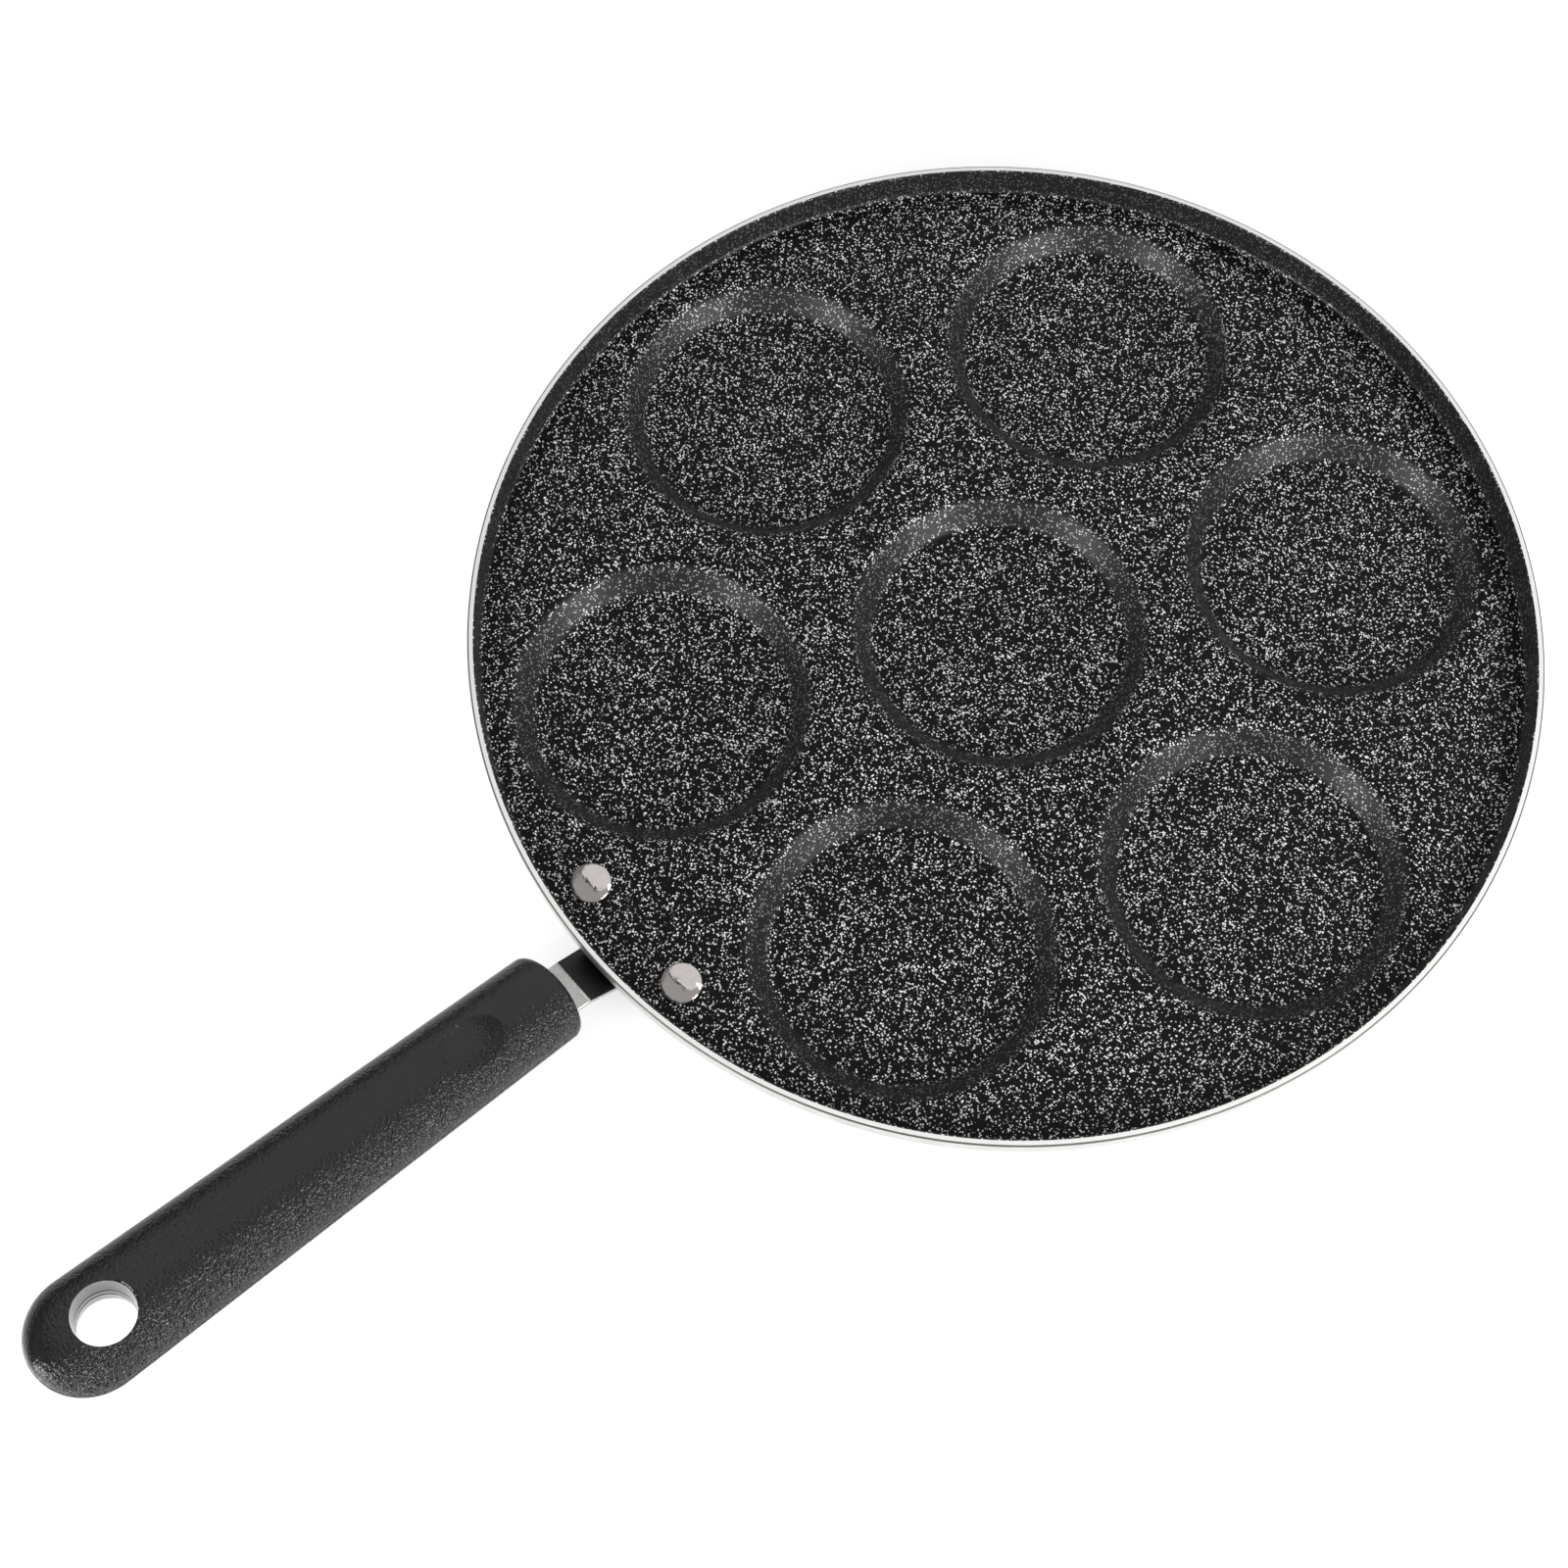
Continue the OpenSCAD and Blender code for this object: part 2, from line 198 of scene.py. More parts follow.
def circle(centre: Sequence[float], radius: float, count: int) -> np.ndarray:
    """Points evenly round a circle, the first one at angle nought."""
    return arc(centre, radius, 0, 360, count)[:-1]


def revolve(profile: np.ndarray, centre: Sequence[float], count: int) -> np.ndarray:
    """Turns a profile of radius and height about an upright axis.

    Each point (r, z) goes to centre + r (cos t, sin t) at height z, for count angles t.

    Args:
        profile: points with radius and height.
        centre: the axis's place in plan.
        count: number of steps round the axis.

    Returns:
        Grid of points, one row for each profile point.
    """
    ring = circle((0, 0), 1, count)
    plan = np.asarray(centre)[:2] + profile[:, None, :1] * ring[None]
    height = np.broadcast_to(profile[:, None, 1:2], (len(profile), count, 1))
    return np.concatenate([plan, height], axis=2)


def rounded_loop(half_width: np.ndarray, low: float, high: float, radius: float, steps: int) -> np.ndarray:
    """Rounded oblong cross-sections of one height and many widths.

    Each corner is a quarter circle of the radius, taken in by the radius from both sides.

    Args:
        half_width: half the width of each section.
        low: height of the lower side.
        high: height of the upper side.
        radius: radius of the corners.
        steps: steps round each corner.

    Returns:
        Array (sections, points, 2) of across and up, going round anticlockwise.
    """
    corners = [arc((0, 0), radius, start, start + 90, steps) for start in (-90, 0, 90, 180)]
    side = np.repeat([1, 1, -1, -1], steps + 1)
    level = np.repeat([low + radius, high - radius, high - radius, low + radius], steps + 1)
    turn = np.concatenate(corners)
    across = side * (half_width[:, None] - radius) + turn[:, 0]
    up = np.broadcast_to(level + turn[:, 1], across.shape)
    return np.stack([across, up], axis=2)


def capped(tube: np.ndarray) -> np.ndarray:
    """Closes a tube's two ends, by one more row at each whose points all lie at the end's middle."""
    caps = [np.broadcast_to(tube[end].mean(axis=0), (1, *tube.shape[1:])) for end in (0, -1)]
    return np.concatenate([caps[0], tube, caps[1]])


def rod(radius: float, low: float, high: float) -> np.ndarray:
    """Outline of a plain round rod as radius and height, from axis to axis."""
    return np.array([[0, low], [radius, low], [radius, high], [0, high]])


@dataclass
class Shell:
    """Gathers surface patches into one closed mesh.

    Attributes:
        name: the piece's name.
        finishes: its materials, which the patches name by number.
    """

    name: str
    finishes: list[bpy.types.Material]
    points: list[np.ndarray] = field(default_factory=list)
    faces: list[np.ndarray] = field(default_factory=list)
    finish_of: list[np.ndarray] = field(default_factory=list)
    count: int = 0

    def add_faces(self, points: np.ndarray, faces: np.ndarray, finish: Finish = 0) -> None:
        """Adds points and the faces between them.

        Args:
            points: array of points in millimetres.
            faces: array of point numbers, one row a face.
            finish: material number, or one for each face.
        """
        self.points.append(points.reshape(-1, 3))
        self.faces.append(faces + self.count)
        self.finish_of.append(np.broadcast_to(finish, len(faces)))
        self.count += points.size // 3

    def add_grid(self, grid: np.ndarray, finish: Finish = 0, wrap: bool = True) -> None:
        """Adds a grid of points as four-sided faces.

        Args:
            grid: array (rows, columns, 3) in millimetres.
            finish: material number, or one for each step between rows, or one for each face.
            wrap: whether the last column joins the first.
        """
        rows, columns = grid.shape[:2]
        here = np.arange(rows * columns).reshape(rows, columns)
        ahead = np.roll(here, -1, axis=1)
        if not wrap:
            here, ahead = here[:, :-1], ahead[:, :-1]
        faces = np.stack([here[:-1], ahead[:-1], ahead[1:], here[1:]], axis=2)
        finish = np.asarray(finish, dtype=int)
        if finish.ndim == 1:
            finish = finish[:, None]
        self.add_faces(grid, faces.reshape(-1, 4), np.broadcast_to(finish, faces.shape[:2]).ravel())

    def add_plate(self, height: float, rim: np.ndarray, holes: list[np.ndarray], finish: int) -> None:
        """Fills the flat stretch between an outer ring and the rings of its holes.

        The rings' points are joined by Delaunay triangles, and those whose middle lies
        in a hole are left out.

        Args:
            height: the flat's height.
            rim: points of the outer ring in plan.
            holes: points of each hole's ring in plan.
            finish: material number.
        """
        rings = [rim, *holes]
        starts = np.cumsum([0] + [len(ring) for ring in rings])
        plan = np.concatenate(rings)
        edges = [(int(a + i), int(a + (i + 1) % (b - a)))
                 for a, b in zip(starts[:-1], starts[1:]) for i in range(b - a)]
        found = delaunay_2d_cdt([Vector(p) for p in plan], edges, [], 0, JOIN_WITHIN)
        place = np.array([tuple(p) for p in found[0]])
        faces = np.array([face for face in found[2] if len(face) == 3])
        middle = place[faces].mean(axis=1)
        keep = np.ones(len(faces), dtype=bool)
        for hole in holes:
            centre = hole.mean(axis=0)
            reach = np.linalg.norm(hole[0] - centre)
            inner = reach * math.cos(math.pi / len(hole)) - HOLE_MARGIN
            keep &= np.linalg.norm(middle - centre, axis=1) > inner
        points = np.column_stack([place, np.full(len(place), height)])
        self.add_faces(points, faces[keep], finish)

    def build(self, smooth_below: float) -> bpy.types.Object:
        """Welds the patches, turns the faces outwards and makes the object.

        Args:
            smooth_below: edges that turn less than this angle, in degrees, look smooth.

        Returns:
            The finished object, with its place in its mesh.
        """
        mesh = bpy.data.meshes.new(self.name)
        points = np.concatenate(self.points) * MM
        mesh.from_pydata(points.tolist(), [], [face for part in self.faces for face in part.tolist()])
        mesh.polygons.foreach_set("material_index", np.concatenate(self.finish_of).astype(np.int32))
        for finish in self.finishes:
            mesh.materials.append(finish)
        work = bmesh.new()
        work.from_mesh(mesh)
        bmesh.ops.remove_doubles(work, verts=work.verts, dist=WELD_WITHIN)
        bmesh.ops.dissolve_degenerate(work, edges=work.edges, dist=WELD_WITHIN / 2)
        bmesh.ops.recalc_face_normals(work, faces=work.faces)
        work.to_mesh(mesh)
        work.free()
        smooth(mesh, smooth_below)
        piece = bpy.data.objects.new(self.name, mesh)
        bpy.context.scene.collection.objects.link(piece)
        return piece


def smooth(mesh: bpy.types.Mesh, smooth_below: float) -> None:
    """Shades a mesh smooth, with crisp edges where its faces turn sharply.

    Args:
        mesh: the mesh.
        smooth_below: edges that turn less than this angle, in degrees, look smooth.
    """
    mesh.polygons.foreach_set("use_smooth", np.ones(len(mesh.polygons), dtype=bool))
    mesh.set_sharp_from_angle(angle=math.radians(smooth_below))
    mesh.update()


def carve(piece: bpy.types.Object, cutters: Sequence[bpy.types.Object], smooth_below: float) -> None:
    """Cuts closed shapes out of a piece, keeping each cutter's finish on its own cut.

    Args:
        piece: the piece to cut.
        cutters: closed objects, which are removed afterwards.
        smooth_below: as in Shell.build.
    """
    for cutter in cutters:
        cut = piece.modifiers.new("cut", "BOOLEAN")
        cut.operation, cut.solver, cut.object = "DIFFERENCE", "EXACT", cutter
        cut.material_mode = "TRANSFER"
    bpy.context.view_layer.update()
    shaped = piece.evaluated_get(bpy.context.evaluated_depsgraph_get())
    old, piece.data = piece.data, bpy.data.meshes.new_from_object(shaped)
    piece.modifiers.clear()
    bpy.data.meshes.remove(old)
    for cutter in cutters:
        bpy.data.objects.remove(cutter, do_unlink=True)
    piece.data.name = piece.name
    smooth(piece.data, smooth_below)


def place(piece: bpy.types.Object, move: Callable[[np.ndarray], np.ndarray]) -> None:
    """Moves a piece's points by a function of their places, leaving its object at the origin.

    Args:
        piece: the piece.
        move: gives the new places, one row a point, for the old ones.
    """
    points = np.empty(len(piece.data.vertices) * 3)
    piece.data.vertices.foreach_get("co", points)
    piece.data.vertices.foreach_set("co", move(points.reshape(-1, 3)).ravel())
    piece.data.update()


# Finishes


@dataclass(frozen=True)
class FleckLayer:
    """One layer of round flecks.

    Attributes:
        pitch_mm: distance between flecks.
        least: least radius as a share of the pitch. A radius under nought draws no fleck.
        most: greatest radius as a share of the pitch.
        dullest: least tone of a fleck.
    """

    pitch_mm: float
    least: float
    most: float
    dullest: float


@dataclass(frozen=True)
class SpeckledCoat:
    """Sprayed non-stick coating with light mineral flecks, on pressed aluminium.

    The eye sees a near-black film with pale flecks of all sizes, thinner where the spray
    ran, which glint softly on the cups' walls.

    Attributes:
        base: colour of the film.
        thin_film: colour of the thinner film on the slopes.
        dull_fleck: colour of the dullest flecks.
        bright_fleck: colour of the brightest flecks.
        slope_fleck: colour of the flecks on the slopes.
        layers: the flecks, finest first.
        fleck_edge: width of a fleck's soft edge, as a share of the pitch.
        cloud_mm: size of the clouds in which the spray fell thinner and thicker.
        cloud_spread: what the clouds add to a fleck's radius.
        slope_spread: what a full slope adds to it.
        slope_up: how far up the surface faces where a slope starts, and where it is full.
        film_mirror: share of the light that the thinner film mirrors.
        fleck_mirror: share that a fleck mirrors, on the flat and on a slope.
        roughness: least and greatest roughness of the film.
        fleck_roughness: what a fleck adds to it.
        peel_mm: size of the film's orange peel.
        relief_mm: height of the peel.
        relief_share: how much of the relief shows.
        fleck_relief: height of a fleck, as a share of the peel's.
        ior: index of refraction, low because the film is a fluoropolymer.
    """

    base: str = "#070708"
    thin_film: str = "#343435"
    dull_fleck: str = "#8c8c8e"
    bright_fleck: str = "#fcfcfa"
    slope_fleck: str = "#acacac"
    # The finest real flecks are smaller than 0.4 mm, too fine to show in the render
    layers: tuple[FleckLayer, ...] = (
        FleckLayer(0.4, -1.3, 0.77, 0.5), FleckLayer(0.62, -1.15, 0.46, 0.7),
        FleckLayer(1.3, -0.75, 0.32, 0.7), FleckLayer(3.6, -0.35, 0.17, 0.9))
    fleck_edge: float = 0.12
    cloud_mm: float = 9.0
    cloud_spread: tuple[float, float] = (-0.05, 0.03)
    slope_spread: float = -0.02
    slope_up: tuple[float, float] = (0.95, 0.66)
    film_mirror: float = 0.6
    fleck_mirror: tuple[float, float] = (0.2, 0.95)
    roughness: tuple[float, float] = (0.34, 0.48)
    fleck_roughness: float = 0.06
    peel_mm: float = 0.9
    relief_mm: float = 0.12
    relief_share: float = 0.35
    fleck_relief: float = 0.6
    ior: float = 1.25

    def make(self) -> bpy.types.Material:
        """Builds the material: flecks are round spots in scattered cells, of many sizes.

        Returns:
            The material.
        """
        material, tree = new_material("nonstick_coat_sprayed_speckled", self.base)
        coordinates = add_node(tree, "TexCoord").outputs
        place_on = coordinates["Object"]
        up = add_node(tree, "SeparateXYZ", {}, {0: coordinates["Normal"]}).outputs[2]
        cloud = add_node(tree, "TexNoise", {}, {
            "Vector": place_on, "Scale": cells_per_metre(self.cloud_mm), "Detail": 2.0, "Roughness": 0.55})
        spread = add_node(tree, "MapRange", {}, {
            0: cloud.outputs["Fac"], 1: LOW_NOISE, 2: HIGH_NOISE,
            3: self.cloud_spread[0], 4: self.cloud_spread[1]}).outputs[0]
        # Spray from above leaves fewer and smaller flecks on the steep slopes
        steep = add_node(tree, "MapRange", {}, {0: up, 1: self.slope_up[0], 2: self.slope_up[1]}).outputs[0]
        spread = add_node(tree, "Math", TIMES_PLUS, {0: steep, 1: self.slope_spread, 2: spread}).outputs[0]
        cover, tone = self.flecks(tree, place_on, self.layers[0], spread)
        for layer in self.layers[1:]:
            more, more_tone = self.flecks(tree, place_on, layer, spread)
            cover = add_node(tree, "Math", LARGER, {0: cover, 1: more}).outputs[0]
            tone = add_node(tree, "Math", LARGER, {0: tone, 1: more_tone}).outputs[0]
        fleck = add_node(tree, "Mix", COLOURS, {
            0: tone, 6: linear(self.dull_fleck), 7: linear(self.bright_fleck)}).outputs[2]
        fleck = add_node(tree, "Mix", COLOURS, {0: steep, 6: fleck, 7: linear(self.slope_fleck)}).outputs[2]
        # Where the film is thin, on the slopes, the bright metal below lends it a soft sheen
        film = add_node(tree, "Mix", COLOURS, {
            0: steep, 6: linear(self.base), 7: linear(self.thin_film)}).outputs[2]
        colour = add_node(tree, "Mix", COLOURS, {0: cover, 6: film, 7: fleck}).outputs[2]
        sheen = add_node(tree, "Math", TIMES, {0: steep, 1: self.film_mirror}).outputs[0]
        glint = add_node(tree, "MapRange", {}, {
            0: steep, 3: self.fleck_mirror[0], 4: self.fleck_mirror[1]}).outputs[0]
        metal = add_node(tree, "Mix", {"data_type": "FLOAT"}, {0: cover, 2: sheen, 3: glint}).outputs[0]
        peel = add_node(tree, "TexNoise", {}, {
            "Vector": place_on, "Scale": cells_per_metre(self.peel_mm), "Detail": 3.0,
            "Roughness": 0.6}).outputs["Fac"]
        rough = add_node(tree, "MapRange", {}, {
            0: peel, 1: 0.2, 2: 0.8, 3: self.roughness[0], 4: self.roughness[1]}).outputs[0]
        rough = add_node(tree, "Math", TIMES_PLUS, {0: cover, 1: self.fleck_roughness, 2: rough}).outputs[0]
        relief = add_node(tree, "Math", TIMES_PLUS, {0: cover, 1: self.fleck_relief, 2: peel}).outputs[0]
        bump = add_node(tree, "Bump", {}, {
            "Strength": self.relief_share, "Distance": self.relief_mm * MM, "Height": relief})
        skin = add_node(tree, "BsdfPrincipled", {}, {
            "Base Color": colour, "Metallic": metal, "Roughness": rough, "IOR": self.ior,
            "Normal": bump.outputs[0]})
        add_node(tree, "OutputMaterial", {}, {"Surface": skin.outputs[0]})
        return material

    def flecks(self, tree: bpy.types.NodeTree, place_on: bpy.types.NodeSocket, layer: FleckLayer,
               spread: bpy.types.NodeSocket) -> tuple[bpy.types.NodeSocket, bpy.types.NodeSocket]:
        """Adds one layer of round flecks.

        A fleck covers what lies nearer to its cell's middle than a radius drawn at random
        for the cell, with a soft edge. A radius under nought leaves the cell empty.

        Args:
            tree: the material's tree.
            place_on: coordinates on the piece.
            layer: the layer's sizes and tone.
            spread: added to every radius, from the clouds of the spray.

        Returns:
            The cover from nought to one, and the fleck's tone from nought to one.
        """
        cells = add_node(tree, "TexVoronoi", {}, {
            "Vector": place_on, "Scale": cells_per_metre(layer.pitch_mm)}).outputs
        chance = add_node(tree, "SeparateColor", {}, {0: cells["Color"]}).outputs
        radius = add_node(tree, "MapRange", {}, {0: chance[0], 3: layer.least, 4: layer.most}).outputs[0]
        radius = add_node(tree, "Math", PLUS, {0: radius, 1: spread}).outputs[0]
        inner = add_node(tree, "Math", MINUS, {0: radius, 1: self.fleck_edge}).outputs[0]
        cover = add_node(tree, "MapRange", SOFT_RAMP, {
            0: cells["Distance"], 1: radius, 2: inner}).outputs[0]
        shade = add_node(tree, "MapRange", {}, {0: chance[1], 3: layer.dullest}).outputs[0]
        return cover, add_node(tree, "Math", TIMES, {0: cover, 1: shade}).outputs[0]


@dataclass(frozen=True)
class BareMetal:
    """Bare metal with the marks of its making.

    Attributes:
        name: material name, after the metal and how it was made; for the rim's edge, after the shade it
            paints.
        colour: the metal's own colour.
        stain: colour of its duller patches.
        roughness: mean roughness.
        groove_mm: distance between tool marks.
        round_axis: whether the marks run round the pan's axis, as from a lathe.
        groove_depth: strength of the marks' relief.
        patch_mm: size of the duller patches.
        relief_mm: height of the marks' relief.
        mirror: share of the light that the metal mirrors, where its marks scatter the rest.
        rough_share: how far the marks and patches turn the roughness down and up, as shares of it.
    """

    name: str
    colour: str
    stain: str
    roughness: float
    groove_mm: float
    round_axis: bool = False
    groove_depth: float = 0.2
    patch_mm: float = 6.0
    relief_mm: float = 0.05
    mirror: float = 1.0
    rough_share: tuple[float, float] = (0.75, 1.3)

    def make(self) -> bpy.types.Material:
        """Builds the material: tool marks are noise drawn out along their run.

        Returns:
            The material.
        """
        material, tree = new_material(self.name, self.colour)
        place_on = add_node(tree, "TexCoord").outputs["Object"]
        patch = add_node(tree, "TexNoise", {}, {
            "Vector": place_on, "Scale": cells_per_metre(self.patch_mm), "Detail": 4.0,
            "Roughness": 0.6}).outputs["Fac"]
        marks = self.marks(tree, place_on)
        colour = add_node(tree, "Mix", COLOURS, {
            0: patch, 6: linear(self.colour), 7: linear(self.stain)}).outputs[2]
        mixed = add_node(tree, "Math", PLUS, {0: patch, 1: marks}).outputs[0]
        rough = add_node(tree, "MapRange", {}, {
            0: mixed, 1: 2 * LOW_NOISE, 2: 2 * HIGH_NOISE,
            3: self.roughness * self.rough_share[0],
            4: self.roughness * self.rough_share[1]}).outputs[0]
        bump = add_node(tree, "Bump", {}, {
            "Strength": self.groove_depth, "Distance": self.relief_mm * MM, "Height": marks})
        skin = add_node(tree, "BsdfPrincipled", {}, {
            "Base Color": colour, "Metallic": self.mirror, "Roughness": rough, "Normal": bump.outputs[0]})
        add_node(tree, "OutputMaterial", {}, {"Surface": skin.outputs[0]})
        return material

    def marks(self, tree: bpy.types.NodeTree, place_on: bpy.types.NodeSocket) -> bpy.types.NodeSocket:
        """Adds the tool marks: noise over distance from the pan's axis and height, or plain grain.

        Args:
            tree: the material's tree.
            place_on: coordinates on the piece.

        Returns:
            The marks' height from nought to one.
        """
        detail = 3.0
        if self.round_axis:
            parts = add_node(tree, "SeparateXYZ", {}, {0: place_on}).outputs
            plan = add_node(tree, "CombineXYZ", {}, {0: parts[0], 1: parts[1]}).outputs[0]
            out = add_node(tree, "VectorMath", {"operation": "LENGTH"}, {0: plan}).outputs["Value"]
            place_on = add_node(tree, "CombineXYZ", {}, {0: out, 2: parts[2]}).outputs[0]
            detail = 2.0
        return add_node(tree, "TexNoise", {}, {
            "Vector": place_on, "Scale": cells_per_metre(self.groove_mm), "Detail": detail}).outputs["Fac"]


@dataclass(frozen=True)
class BlackSatin:
    """Satin black on the steel strip's flats, with a faint orange peel."""

    colour: str = "#0b0b0c"
    worn: str = "#1a1a1b"
    roughness: tuple[float, float] = (0.32, 0.48)
    peel_mm: float = 0.6
    relief_mm: float = 0.05
    relief_share: float = 0.2
    ior: float = 1.5

    def make(self) -> bpy.types.Material:
        """Builds the material: one noise gives the peel's colour, roughness and relief.

        Returns:
            The material.
        """
        material, tree = new_material("steel_black_satin", self.colour)
        place_on = add_node(tree, "TexCoord").outputs["Object"]
        peel = add_node(tree, "TexNoise", {}, {
            "Vector": place_on, "Scale": cells_per_metre(self.peel_mm), "Detail": 3.0,
            "Roughness": 0.6}).outputs["Fac"]
        colour = add_node(tree, "Mix", COLOURS, {
            0: peel, 6: linear(self.colour), 7: linear(self.worn)}).outputs[2]
        rough = add_node(tree, "MapRange", {}, {
            0: peel, 1: LOW_NOISE, 2: HIGH_NOISE, 3: self.roughness[0], 4: self.roughness[1]}).outputs[0]
        bump = add_node(tree, "Bump", {}, {
            "Strength": self.relief_share, "Distance": self.relief_mm * MM, "Height": peel})
        skin = add_node(tree, "BsdfPrincipled", {}, {
            "Base Color": colour, "Roughness": rough, "IOR": self.ior, "Normal": bump.outputs[0]})
        add_node(tree, "OutputMaterial", {}, {"Surface": skin.outputs[0]})
        return material


@dataclass(frozen=True)
class MouldedPhenolic:
    """Phenolic resin, moulded hot in a textured die: satin, with a grain that sparkles.

    Attributes:
        name: material name.
        colour: the resin's own colour.
        filler: colour of the wood-flour filler near the skin.
        roughness: mean roughness.
        grain_mm: size of the die's grain.
        grain_depth: strength of the grain's relief.
        worn_to: where the worn part ends, in millimetres right of the grip's middle.
        worn_fade: width over which the grain comes back, in millimetres.
        worn_grain: share of the grain that is left where it is worn.
        rough_spread: what the grain takes from the roughness and adds to it.
        cloud_mm: size of the filler's clouds.
        relief_mm: height of the grain.
        ior: index of refraction.
    """

    name: str = "phenolic_moulded_black_grained"
    colour: str = "#0e0e10"
    filler: str = "#161618"
    roughness: float = 0.12
    grain_mm: float = 0.7
    grain_depth: float = 1.0
    worn_to: float = -0.5
    worn_fade: float = 6.0
    worn_grain: float = 0.2
    rough_spread: float = 0.06
    cloud_mm: float = 12.0
    relief_mm: float = 0.7
    ior: float = 1.55

    def make(self) -> bpy.types.Material:
        """Builds the material: the grain is noise relief, and the filler shows as faint clouds.

        Returns:
            The material.
        """
        material, tree = new_material(self.name, self.colour)
        place_on = add_node(tree, "TexCoord").outputs["Object"]
        cloud = add_node(tree, "TexNoise", {}, {
            "Vector": place_on, "Scale": cells_per_metre(self.cloud_mm), "Detail": 5.0, "Roughness": 0.65})
        grain = add_node(tree, "TexNoise", {}, {
            "Vector": place_on, "Scale": cells_per_metre(self.grain_mm), "Detail": 1.0,
            "Roughness": 0.6}).outputs["Fac"]
        colour = add_node(tree, "Mix", COLOURS, {
            0: cloud.outputs["Fac"], 6: linear(self.colour), 7: linear(self.filler)}).outputs[2]
        rough = add_node(tree, "MapRange", {}, {
            0: grain, 1: LOW_NOISE, 2: HIGH_NOISE,
            3: self.roughness - self.rough_spread, 4: self.roughness + self.rough_spread}).outputs[0]
        # Hands have worn the grain nearly smooth but for a band along the right side
        across = add_node(tree, "SeparateXYZ", {}, {0: place_on}).outputs[0]
        depth = add_node(tree, "MapRange", SOFT_RAMP, {
            0: across, 1: self.worn_to * MM, 2: (self.worn_to + self.worn_fade) * MM,
            3: self.grain_depth * self.worn_grain, 4: self.grain_depth}).outputs[0]
        relief = add_node(tree, "Math", TIMES, {0: grain, 1: depth}).outputs[0]
        bump = add_node(tree, "Bump", {}, {
            "Strength": 1.0, "Distance": self.relief_mm * MM, "Height": relief})
        skin = add_node(tree, "BsdfPrincipled", {}, {
            "Base Color": colour, "Roughness": rough, "IOR": self.ior, "Normal": bump.outputs[0]})
        add_node(tree, "OutputMaterial", {}, {"Surface": skin.outputs[0]})
        return material


# Turned on a lathe: fine rings, whose many small faces scatter half of the light
TURNED_RIM = BareMetal("aluminium_turned_bare", "#f7f6f4", "#e4e3e1", 0.56, 0.22, round_axis=True,
                       groove_depth=0.25, mirror=0.5)
# Painted dark reflection: a darker line round the rim, on its outer rounding, for the dark that this
# rounding mirrors
RIM_EDGE_PAINTED_DARK = BareMetal("aluminium_rim_edge_painted_dark", "#7d7c7a", "#5e5d5b", 0.45, 0.3, round_axis=True,
                     groove_depth=0.3)
# Pressed in a die: soft rings and a satin sheen
PRESSED_WALL = BareMetal("aluminium_pressed_bare", "#e2e1df", "#c4c3c1", 0.4, 0.5, round_axis=True,
                         groove_depth=0.3)
# Polished by tumbling: a near mirror with a slow swell
POLISHED_RIVET = BareMetal("aluminium_polished", "#ece6e4", "#d6cfcc", 0.1, 3.2, groove_depth=1.0,
                           patch_mm=3.0, relief_mm=0.2)
# Cut by a punch or a tap: bright, with a fine grain
CUT_STEEL = BareMetal("steel_cut_bare", "#d8d6d4", "#b0aeac", 0.28, 0.3, groove_depth=0.35, patch_mm=2.0)
# Plated with zinc: a cool, slightly cloudy grey
ZINC_STEEL = BareMetal("steel_zinc_plated", "#c9cbce", "#a4a8ac", 0.3, 0.4, groove_depth=0.3, patch_mm=2.0)
# Moulded against a smooth pin. Its black resin is drawn grey as painted light, for the pale light that the
# hole's wall catches
PIN_SMOOTH_PAINTED_LIGHT = MouldedPhenolic("phenolic_pin_smooth_painted_light", "#707072", "#7e7e80", 0.16, 0.8, 0.04)


# Sub-assemblies


